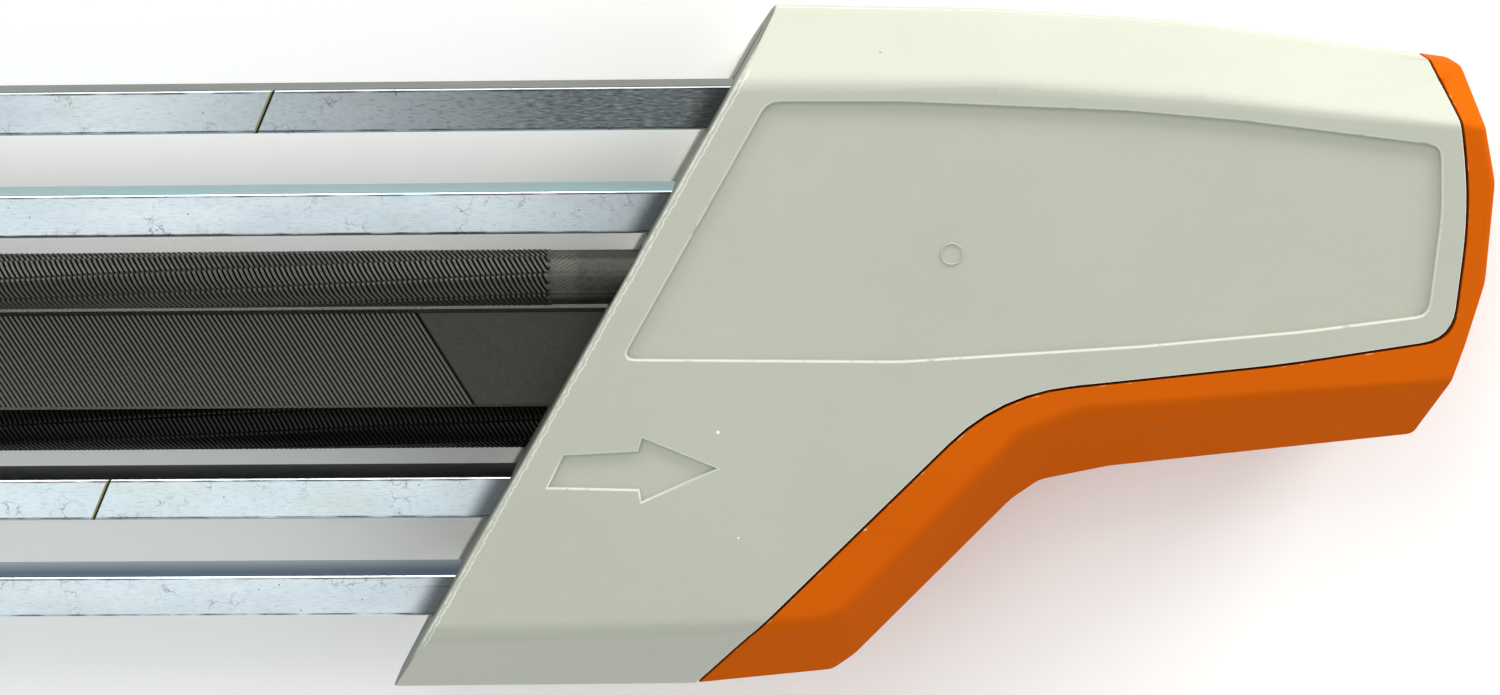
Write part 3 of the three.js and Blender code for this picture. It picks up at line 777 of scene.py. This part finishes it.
# Widest line x, y, then ridge x, y, as shares of the reach and the half width, and last how soft
# the ridge is there, in mm. None: on the front.
OUTLINE_SHARES = [
    (None, -1, None, -0.747, 1.5), (0.118, -0.995, 0.118, -0.727, 1.4),
    (0.28, -0.953, 0.266, -0.704, 0.9), (0.306, -0.904, 0.292, -0.673, 0.8),
    (0.481, -0.437, 0.445, -0.256, 0.8), (0.513, -0.379, 0.48, -0.165, 0.8),
    (0.59, -0.339, 0.545, -0.095, 0.8), (0.926, -0.249, 0.94, -0.017, 0.6),
    (0.963, -0.079, 0.952, 0.084, 0.5), (0.99, 0.193, 0.971, 0.264, 0.5),
    (0.999, 0.508, 0.977, 0.539, 0.5), (0.964, 0.822, 0.965, 0.697, 0.6),
    (0.664, 0.936, 0.673, 0.788, 1.2), (0.455, 0.976, 0.458, 0.835, 1.25),
    (None, 0.993, None, 0.845, 1.25),
]


def on_handle(x_share, y_share, softness):
    """A corner of the outline: its place, with the ridge's softness carried as a third number."""
    y = y_share * HANDLE_HALF_WIDTH
    x = y * FRONT_SLOPE if x_share is None else x_share * HANDLE_REACH
    return Vector((x, y, softness))


def rounding(start, corner, end, steps):
    """Points along the curve that leaves towards a corner and bends past it."""
    shares = [step / steps for step in range(steps + 1)]
    return [start.lerp(corner, t).lerp(corner.lerp(end, t), t) for t in shares]


def rounded_outline(pick):
    """The widest line (pick 0) or the ridge (pick 2), with round corners and points between."""
    corners = [on_handle(*shares[pick:pick + 2], shares[-1]) for shares in OUTLINE_SHARES]
    points = [corners[0]]
    for before, corner, after in zip(corners, corners[1:], corners[2:]):
        start, end = (corner.lerp(other, min(CORNER_CUT / (other - corner).length, LONGEST_CUT))
                      for other in (before, after))
        points += [points[-1].lerp(start, share) for share in (1 / 3, 2 / 3)]
        points += rounding(start, corner, end, CORNER_STEPS)
    return points + [points[-1].lerp(corners[-1], share) for share in (1 / 3, 2 / 3, 1)]


wide_line, ridge_line = rounded_outline(0), rounded_outline(2)
print("Points on each line:", len(wide_line), len(ridge_line))


# %% Handle form
def inward(line, number):
    """How far a point of the line moves for each millimetre that the line is drawn in."""
    along = (line[min(number + 1, len(line) - 1)] - line[max(number - 1, 0)]).xy.normalized()
    across = Vector((-along.y, along.x, 0))
    if 0 < number < len(line) - 1:
        return across
    front = (line[-1] - line[0]).xy.normalized().to_3d() * (1 if number == 0 else -1)
    return front / front.dot(across)


def profile(number):
    """One upright line of the upper side: band, band rounding, slope, ridge rounding."""
    wide, ridge = wide_line[number], ridge_line[number]
    softness = ridge.z
    low = Vector((*wide.xy, HALF_BAND))
    high = Vector((*ridge.xy, HALF_THICKNESS - SKIN))
    slope = (high - low).normalized()
    inner = high + inward(ridge_line, number) * softness
    lower = rounding(low - Vector((0, 0, BAND_CUT)), low, low + slope * BAND_CUT, BAND_STEPS)
    return lower + rounding(high - slope * softness, high, inner, RIDGE_STEPS)


def round_edges(bm, edges, width, segments):
    rounded = bmesh.ops.bevel(bm, geom=edges, affect="EDGES", offset=width, offset_type="OFFSET",
                              segments=segments, profile=0.5, material=-1, clamp_overlap=False)
    return rounded["faces"]


def on_front(vert):
    return abs(vert.co.x - HALF_SPAN - vert.co.y * FRONT_SLOPE) < 3 * SKIN


def handle_form():
    """The right handle's outside as one smooth closed body, a hair inside the measured faces."""
    bm = bmesh.new()
    order = bm.verts.layers.int.new("order")
    profiles = [profile(number) for number in range(len(wide_line))]
    shrink = 1 - SKIN / HANDLE_HALF_WIDTH
    middle = HANDLE_REACH / 2

    def settle(vert, level, way):
        x, y, z = profiles[vert[order]][level]
        x = middle + (x - middle) * shrink
        vert.co = (HALF_SPAN + x, y * shrink, HALF_THICKNESS + way * z)

    top = len(profiles[0]) - 1
    ring = [bm.verts.new() for _ in profiles]
    for number, vert in enumerate(ring):
        vert[order] = number
        settle(vert, top, -1)
    face = bm.faces.new(ring)
    steps = [(level, -1) for level in range(top - 1, -1, -1)]
    steps += [(level, 1) for level in range(top + 1)]
    for count, (level, way) in enumerate(steps):
        grown = bmesh.ops.extrude_face_region(bm, geom=[face])
        if count > 0:
            bmesh.ops.delete(bm, geom=[face], context="FACES_ONLY")
        face = next(item for item in grown["geom"] if isinstance(item, bmesh.types.BMFace))
        for vert in face.verts:
            settle(vert, level, way)
    front = [f for f in bm.faces if all(on_front(v) for v in f.verts)]
    bmesh.ops.dissolve_faces(bm, faces=front, use_verts=False)
    lip = [e for e in bm.edges if all(on_front(v) for v in e.verts)]
    round_edges(bm, lip, FRONT_LIP, 2)
    return bm


print("Points on each upright line:", len(profile(0)))

# %% Place the form on both sides
right_form = new_piece("right_form", handle_form())
left_bm = bmesh.new()
left_bm.from_mesh(right_form.data)
bmesh.ops.rotate(left_bm, verts=left_bm.verts, matrix=Matrix.Rotation(math.pi, 3, "Z"))
left_form = new_piece("left_form", left_bm)
print("Form faces:", len(right_form.data.polygons))

# %% [markdown]
# Cutting the pieces out of the form
#
# The two shells and the lock slide share that outside. The measured solids already hold the seam,
# the parting gap, the panel, the arrow, the holes and the hollow. So each visible piece is what a
# measured solid and the smooth form have in common: a Boolean intersection. Before it, the shells'
# walls move out a little, because the real seam is finer than the measured one. After it, the new
# rims are given a small round, because a moulded edge is never knife sharp. Everything is modelled
# in millimetres and made metres at the end, as Booleans lose their way among tiny numbers.

# %% Copy a solid and close its seam
MERGE_DISTANCE = 0.001
LEVEL_ANGLE = 0.3
# A wall's normal rises less than this
WALL_RISE = 0.1
# A wall is part of a recess if it is lower than this, and else a tall one
RECESS_DEPTH = 0.6
SEAM_CLOSING = 0.16
# A trace of stiffness, which settles where a corner goes along a direction that no face rules
NO_SLIP = 0.001


def merged_copy(node):
    """A measured solid's mesh, in mm, with its triangles joined and its flat faces made whole."""
    bm = bmesh.new()
    bm.from_mesh(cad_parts[node].data)
    bmesh.ops.scale(bm, vec=(1 / MM, 1 / MM, 1 / MM), verts=bm.verts)
    bmesh.ops.remove_doubles(bm, verts=bm.verts, dist=MERGE_DISTANCE)
    bmesh.ops.dissolve_limit(bm, angle_limit=math.radians(LEVEL_ANGLE), verts=bm.verts,
                             edges=bm.edges)
    return bm


def wall_height(face):
    """How high an upright face is, or nothing for any other."""
    if abs(face.normal.z) >= WALL_RISE:
        return 0
    heights = [vert.co.z for vert in face.verts]
    return max(heights) - min(heights)


def is_tall_wall(face):
    return wall_height(face) > RECESS_DEPTH


def close_seam(bm):
    """Moves a shell's tall walls outwards, as the real seam is finer than the measured gap.

    Each corner slides along its other faces, so these stay flat: least squares over its normals.
    """
    bm.normal_update()
    moves = []
    for vert in bm.verts:
        if any(is_tall_wall(face) for face in vert.link_faces):
            normals = Matrix.Identity(3) * NO_SLIP
            aims = Vector()
            for face in vert.link_faces:
                normals += Matrix([face.normal * share for share in face.normal])
                aims += face.normal * (SEAM_CLOSING if is_tall_wall(face) else 0)
            moves.append((vert, normals.inverted() @ aims))
    for vert, move in moves:
        vert.co += move


print("Seam closed by, mm:", SEAM_CLOSING)

# %% Cut and soften
SEAM_ROUND, SEAM_STEPS = 0.05, 2
RECESS_ROUND, RECESS_STEPS = 0.17, 3
# How strongly the rims of recesses are worn pale with a painted highlight, against those of the
# seam
RECESS_SHINE = 0.4
RIM_REACH = 0.7
RIM_ANGLE = 28
SHORTEST_EDGE = 0.13
CUT_ANGLE = 0.1
CUT_DISTANCE = 0.004
LEVEL_EDGE = 0.01
UPRIGHT_SHARE = 0.9


def apply_modifiers(piece):
    shown = piece.evaluated_get(bpy.context.evaluated_depsgraph_get())
    mesh = bpy.data.meshes.new_from_object(shown)
    piece.modifiers.clear()
    piece.data = mesh


def cut(piece, tool, operation):
    boolean = piece.modifiers.new("cut", "BOOLEAN")
    boolean.object = tool
    boolean.operation = operation
    boolean.solver = "EXACT"
    apply_modifiers(piece)


def drop(piece):
    bpy.data.objects.remove(piece)


def is_shallow(edge):
    """True for the rim of a recess: one of its faces is a wall as low as the recess is deep."""
    level = abs(edge.verts[0].co.z - edge.verts[1].co.z) <= LEVEL_EDGE
    return level and any(abs(face.normal.z) < WALL_RISE and wall_height(face) < RECESS_DEPTH
                         for face in edge.link_faces)


def is_wall_corner(edge):
    """True for the short upright edge between two walls of a recess."""
    rise = abs(edge.verts[0].co.z - edge.verts[1].co.z)
    return UPRIGHT_SHARE * edge.calc_length() < rise and edge.calc_length() < RECESS_DEPTH


def soften(piece, form):
    """Rounds the sharp rims that lie on the form, more round the recesses than along the seam."""
    surface = BVHTree.FromObject(form, bpy.context.evaluated_depsgraph_get())
    side = math.copysign(1, form.data.vertices[0].co.x)

    def on_rim(edge):
        middle = (edge.verts[0].co + edge.verts[1].co) / 2
        from_front = abs(middle.x * side - HALF_SPAN - middle.y * side * FRONT_SLOPE)
        return from_front > 2 * RIM_REACH and surface.find_nearest(middle)[3] < RIM_REACH

    bm = bmesh.new()
    bm.from_mesh(piece.data)
    bmesh.ops.dissolve_limit(bm, angle_limit=math.radians(CUT_ANGLE), verts=bm.verts,
                             edges=bm.edges)
    bmesh.ops.remove_doubles(bm, verts=bm.verts, dist=CUT_DISTANCE)
    short = [edge for edge in bm.edges if edge.calc_length() < SHORTEST_EDGE and on_rim(edge)]
    bmesh.ops.dissolve_degenerate(bm, edges=short, dist=SHORTEST_EDGE)
    sharp = [edge for edge in bm.edges if edge.is_manifold and on_rim(edge)
             and edge.calc_face_angle_signed() > math.radians(RIM_ANGLE)]
    shallow = [edge for edge in sharp if is_shallow(edge)]
    deep = [edge for edge in sharp if not is_shallow(edge) and not is_wall_corner(edge)]
    # The "rim" mark carries wear and a painted highlight into the finish
    rim = bm.faces.layers.float.new("rim")
    for face in round_edges(bm, deep, SEAM_ROUND, SEAM_STEPS):
        face[rim] = 1
    shallow = [edge for edge in shallow if edge.is_valid]
    for face in round_edges(bm, shallow, RECESS_ROUND, RECESS_STEPS):
        face[rim] = RECESS_SHINE
    bm.to_mesh(piece.data)
    bm.free()
    return len(deep), len(shallow)


print("Rounds of seam and recess, mm:", SEAM_ROUND, RECESS_ROUND)

# %% [markdown]
# Gate ring
#
# Where the molten plastic entered the mould, a small ring was left on the panel's floor. It is a
# thin circle that stands about half out of the floor. A circle of eight corners spun once round
# makes it, and a Boolean union joins it to the shell.

# %% Gate ring
GATE_PLACE = (135.5, 10.45)
GATE_RADIUS = 0.87
GATE_LINE = 0.16
GATE_RISE = 0.02
GATE_STEPS = 28
PANEL_FLOOR = 24.5


def gate_ring(side):
    """The thin raised ring that the mould's gate leaves on the panel's floor."""
    bm = bmesh.new()
    upright = Matrix.Translation((GATE_RADIUS, 0, 0)) @ Matrix.Rotation(math.pi / 2, 4, "X")
    bmesh.ops.create_circle(bm, segments=8, radius=GATE_LINE / 2, matrix=upright)
    bmesh.ops.spin(bm, geom=bm.verts[:] + bm.edges[:], cent=(0, 0, 0), axis=(0, 0, 1),
                   angle=2 * math.pi, steps=GATE_STEPS, use_merge=True)
    way = 1 if side == "right" else -1
    centre = (way * GATE_PLACE[0], way * GATE_PLACE[1], PANEL_FLOOR + GATE_RISE)
    bmesh.ops.translate(bm, verts=bm.verts, vec=centre)
    return new_piece(f"{side}_gate_ring", bm)


print("Gate ring across, mm:", 2 * GATE_RADIUS)

# %% [markdown]
# Shells and lock slides
#
# Now each visible moulding is cut, softened and given its finish. The left handle is the right one
# turned half a turn, so the same steps serve both. Smooth shading alone would make the broad faces
# look pillowy beside their rounded edges, so the flat faces lead it.

# %% Shells and lock slides
SMOOTH_ANGLE = 33


def finish_piece(piece, material, body, node, level_faces=True):
    """Makes millimetres metres, gives the piece its finish and its body, and hides the measured
    solid.
    """
    piece.data.transform(Matrix.Scale(MM, 4))
    piece.data.materials.clear()
    piece.data.materials.append(material)
    piece.data.shade_smooth()
    piece.data.set_sharp_from_angle(angle=math.radians(SMOOTH_ANGLE))
    if level_faces:
        # The broad flat faces keep their shading flat right up to the rounded edges
        weights = piece.modifiers.new("flat faces lead", "WEIGHTED_NORMAL")
        weights.keep_sharp = True
    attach(piece, body)
    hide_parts(node)
    print(piece.name, "faces:", len(piece.data.polygons))


def mould(side, part, form):
    """Cuts a shell or slide out of the form. Only the shells move out to close the seam."""
    solid = merged_copy(f"{side}_{part}")
    if part != "lock_slide":
        close_seam(solid)
    piece = new_piece(f"{side}_{part}_moulding", solid)
    cut(piece, form, "INTERSECT")
    print("Rims rounded, seam and recess:", soften(piece, form))
    if part == "upper_shell":
        ring = gate_ring(side)
        cut(piece, ring, "UNION")
        drop(ring)
    return piece


for side, form in (("right", right_form), ("left", left_form)):
    for part in ("upper_shell", "lower_shell"):
        finish_piece(mould(side, part, form), shell_grey, "tool_frame",
                     f"{side}_{part}")
    finish_piece(mould(side, "lock_slide", form), slide_orange, f"{side}_lock",
                 f"{side}_lock_slide")
drop(right_form)
drop(left_form)

# %% [markdown]
# Guide rails
#
# Each rail is a cold drawn bar with barely broken edges, so its long edges catch the light as a
# thin bright line. The measured bars have wide flats there, which would mirror it as a broad
# stripe. So the bar is copied, the flats are narrowed and both borders of each are rounded. A
# rail's ends and pin holes stay as they are, deep in the handles.

# %% Guide rails
RAIL_FLAT = 0.35
RAIL_CORNER = 0.16
RAIL_EASE = 0.07
RAIL_CLEAR_RUN = 100
ON_FLAT = 0.01


def narrow_flats(bar, low, high):
    """Moves the borders of the flats outwards along the sides they lie on."""
    for vert in bar.verts:
        for axis in (1, 2):
            for face, way in ((low[axis], 1), (high[axis], -1)):
                if abs(vert.co[axis] - face - way * RAIL_FLAT) < ON_FLAT:
                    vert.co[axis] = face + way * RAIL_CORNER


for number, material in enumerate(zinc_rails, start=1):
    node = f"guide_rail_{number}"
    bar = merged_copy(node)
    narrow_flats(bar, *(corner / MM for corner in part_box(node)))
    long_edges = [edge for edge in bar.edges if edge.calc_length() > RAIL_CLEAR_RUN]
    round_edges(bar, long_edges, RAIL_EASE, 2)
    finish_piece(new_piece(f"{node}_bar", bar), material, "tool_frame", node)

# %% [markdown]
# Round files
#
# The teeth of a round file are chiselled in eight rows that wind slowly round it, each row a band
# of leaning strokes. Bump could fake them on the face, but not their saw edge against the light. So
# they are real: one tooth of sixteen faces is spun into a ring of eight, the ring is repeated along
# the file, the whole is twisted a little, and both ends are cut off. The lean is chosen so that the
# rows share their border points but meet half a tooth apart, as chisel cuts never line up.

# %% Round file sizes
TOOTH_PITCH = 0.438
ROUND_RADIUS = 2.4
ROUND_DEPTH = 0.3
ROW_COUNT = 8
ROW_DROP = 0.12
ROW_SHARES = (0, 0.1, 0.5, 0.9, 1)
# How far a stroke leans over its row, and from where the next row starts, in pitches
ROW_LEAN = 2.25
ROW_STEP = -0.25
LEAN_BOW = 1.25
STROKE_SHARES = ((0, 1), (0.25, 0), (0.5, 0.04), (0.75, 0.12), (1, 1))
GRID_STEPS = len(STROKE_SHARES) - 1
ROW_DRIFT = 0.045
SHANK_RADIUS = 2.3
RUN_OUT = 0.3
TIP_EASE = 0.4

round_box = [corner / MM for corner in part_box("round_file_upper")]
round_axis = (round_box[0] + round_box[1]) / 2
print("Upper round file, mm:", [[round(v, 2) for v in corner] for corner in round_box])


# %% Round file teeth
def tooth_ring():
    """One pitch of teeth all the way round, in rows whose borders lie half a tooth apart."""
    bm = bmesh.new()
    bmesh.ops.create_grid(bm, x_segments=GRID_STEPS, y_segments=GRID_STEPS, size=0.5)
    turn = 2 * math.pi / ROW_COUNT
    for vert in bm.verts:
        across = ROW_SHARES[round((vert.co.y + 0.5) * GRID_STEPS)]
        share, depth = STROKE_SHARES[round((vert.co.x + 0.5) * GRID_STEPS)]
        radius = ROUND_RADIUS - (ROW_DROP if across in (0, 1) else depth * ROUND_DEPTH)
        angle = across * turn
        along = (share + ROW_LEAN * across ** LEAN_BOW) * TOOTH_PITCH
        vert.co = (along, -radius * math.sin(angle), radius * math.cos(angle))
    bmesh.ops.spin(bm, geom=bm.verts[:] + bm.edges[:] + bm.faces[:], cent=(0, 0, 0),
                   axis=(1, 0, 0), dvec=(ROW_STEP * TOOTH_PITCH, 0, 0),
                   angle=turn * (ROW_COUNT - 1), steps=ROW_COUNT - 1, use_duplicate=True)
    return bm


def repeat(piece, count, step):
    array = piece.modifiers.new("row of teeth", "ARRAY")
    array.use_relative_offset = False
    array.use_constant_offset = True
    array.constant_offset_displace = (step, 0, 0)
    array.count = count
    array.use_merge_vertices = True
    array.merge_threshold = MERGE_DISTANCE
    apply_modifiers(piece)


def grow_end(bm, ring, x, radius):
    """Draws an open end out to a place along the file and a radius, and returns the new ring."""
    grown = bmesh.ops.extrude_edge_only(bm, edges=ring)["geom"]
    for item in grown:
        if isinstance(item, bmesh.types.BMVert):
            across = Vector((0, item.co.y, item.co.z)).normalized() * radius
            item.co = (x, across.y, across.z)
    return [item for item in grown if isinstance(item, bmesh.types.BMEdge) and item.is_boundary]


def round_file(first_tooth, last_tooth, low_end, high_end):
    """A round file about the X axis: teeth from first to last, smooth shanks out to both ends."""
    piece = new_piece("teeth", tooth_ring())
    ragged = TOOTH_PITCH * (ROW_LEAN - ROW_COUNT * ROW_STEP)
    count = math.ceil((last_tooth - first_tooth + 2 * ragged) / TOOTH_PITCH)
    repeat(piece, count, TOOTH_PITCH)
    bm = bmesh.new()
    bm.from_mesh(piece.data)
    drop(piece)
    bmesh.ops.translate(bm, verts=bm.verts, vec=(first_tooth - ragged, 0, 0))
    bmesh.ops.remove_doubles(bm, verts=bm.verts, dist=MERGE_DISTANCE)
    for vert in bm.verts:
        vert.co = Matrix.Rotation(-vert.co.x * ROW_DRIFT / ROUND_RADIUS, 3, "X") @ vert.co
    for place_x, way in ((first_tooth, -1), (last_tooth, 1)):
        bmesh.ops.bisect_plane(bm, geom=bm.verts[:] + bm.edges[:] + bm.faces[:], dist=0.0001,
                               plane_co=(place_x, 0, 0), plane_no=(way, 0, 0), clear_outer=True)
    for start, end, way in ((first_tooth, low_end, -1), (last_tooth, high_end, 1)):
        ring = [edge for edge in bm.edges
                if edge.is_boundary and abs(edge.verts[0].co.x - start) < MERGE_DISTANCE]
        ring = grow_end(bm, ring, start + way * RUN_OUT, SHANK_RADIUS)
        ring = grow_end(bm, ring, end - way * TIP_EASE, SHANK_RADIUS)
        ring = grow_end(bm, ring, end, SHANK_RADIUS - TIP_EASE)
        bmesh.ops.contextual_create(bm, geom=ring)
    return bm


print("Rows of teeth round a file:", ROW_COUNT)

# %% Round files
FIRST_TOOTH = -112
LAST_TOOTH = 101.8

upper_file = round_file(FIRST_TOOTH, LAST_TOOTH, round_box[0].x, round_box[1].x)
lower_file = upper_file.copy()
bmesh.ops.translate(upper_file, verts=upper_file.verts, vec=(0, round_axis.y, round_axis.z))
# The lower file is the upper one turned end for end
bmesh.ops.rotate(lower_file, verts=lower_file.verts, matrix=Matrix.Rotation(math.pi, 3, "Z"))
lower_level = sum(corner.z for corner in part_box("round_file_lower")) / 2 / MM
bmesh.ops.translate(lower_file, verts=lower_file.verts, vec=(0, -round_axis.y, lower_level))
for name, bm in (("upper", upper_file), ("lower", lower_file)):
    node = f"round_file_{name}"
    finish_piece(new_piece(f"{node}_cut", bm), round_steel, "tool_frame", node,
                 level_faces=False)

# %% [markdown]
# Flat file
#
# The flat file is single cut: straight parallel strokes that cross both broad faces on a slant,
# with smooth edges, so that it lowers the depth gauges and doesn't cut the rails. One pitch is a
# closed ring drawn out in three steps, repeated along the file, and sheared to the slant.

# %% Flat file
FLAT_DEPTH = 0.17
FLAT_BURR = 0.03
FLAT_CORNER = 0.3
FLAT_SLANT = -0.583
FLAT_FIRST = -112
FLAT_LAST = 92.6
# Place in the pitch and depth of each step of a stroke, as shares
STROKE_STEPS = ((0.16, 0), (0.7, 0.12), (1, 1))

flat_box = [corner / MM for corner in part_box("flat_file")]
flat_middle = (flat_box[0] + flat_box[1]) / 2
flat_half = (flat_box[1] - flat_box[0]) / 2


def section(depth):
    """The file's eight-cornered section as (y, z), with its broad faces lowered by a depth."""
    w, h, c = flat_half.y, flat_half.z, FLAT_CORNER
    quarter = [(w, h - c - depth), (w - c, h - depth)]
    upper = quarter + [(-y, z) for y, z in reversed(quarter)]
    return upper + [(-y, -z) for y, z in upper]


def draw_section(bm, ring, x_of, depth):
    """Draws a ring of edges on to the next section and returns the new ring."""
    grown = bmesh.ops.extrude_edge_only(bm, edges=ring)["geom"]
    corner = bm.verts.layers.int["corner"]
    for item in grown:
        if isinstance(item, bmesh.types.BMVert):
            y, z = section(depth)[item[corner]]
            item.co = (x_of(y), y, z)
    return [item for item in grown if isinstance(item, bmesh.types.BMEdge) and item.is_boundary]


def flat_file():
    bm = bmesh.new()
    corner = bm.verts.layers.int.new("corner")
    count = math.floor((FLAT_LAST - FLAT_FIRST) / TOOTH_PITCH)
    verts = []
    for number, (y, z) in enumerate(section(FLAT_DEPTH)):
        verts.append(bm.verts.new((0, y, z)))
        verts[-1][corner] = number
    ring = [bm.edges.new(pair) for pair in zip(verts, verts[1:] + verts[:1])]
    for share, depth in STROKE_STEPS:
        ring = draw_section(bm, ring, lambda y: share * TOOTH_PITCH, depth * FLAT_DEPTH)
    piece = new_piece("strokes", bm)
    repeat(piece, count, TOOTH_PITCH)
    bm = bmesh.new()
    bm.from_mesh(piece.data)
    drop(piece)
    bmesh.ops.translate(bm, verts=bm.verts, vec=(FLAT_LAST - count * TOOTH_PITCH, 0, 0))
    for vert in bm.verts:
        vert.co.x += vert.co.y * FLAT_SLANT
    for way in (-1, 1):
        ring = [edge for edge in bm.edges if edge.is_boundary and edge.verts[0].co.x * way > 0]
        start = FLAT_LAST + RUN_OUT if way > 0 else FLAT_LAST - count * TOOTH_PITCH - RUN_OUT
        ring = draw_section(bm, ring, lambda y: start + y * FLAT_SLANT, FLAT_BURR)
        ring = draw_section(bm, ring, lambda y: way * flat_half.x, FLAT_BURR)
        cap = bmesh.ops.contextual_create(bm, geom=ring)["faces"]
        round_edges(bm, cap[0].edges, TIP_EASE, 2)
    bmesh.ops.translate(bm, verts=bm.verts, vec=flat_middle)
    return bm


finish_piece(new_piece("flat_file_cut", flat_file()), file_steel, "tool_frame",
             "flat_file", level_faces=False)

# %% [markdown]
# Hidden parts
#
# The yokes, file seats, springs and pins lie inside the handles and show only through the mouths
# of the passages. Their measured shapes are right as they are, so they only get their finishes.

# %% Finishes for the hidden parts
HIDDEN = {"rail_yoke": polymer_black, "file_seat": polymer_black, "file_spring": spring_steel,
          "detent_spring": spring_steel, "rail_pin_1": zinc_plain, "rail_pin_2": zinc_plain,
          "rail_pin_3": zinc_plain, "rail_pin_4": zinc_plain}
for side in ("right", "left"):
    for part, material in HIDDEN.items():
        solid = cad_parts[f"{side}_{part}"]
        solid.data.materials.clear()
        solid.data.materials.append(material)
print("Hidden parts finished:", 2 * len(HIDDEN))
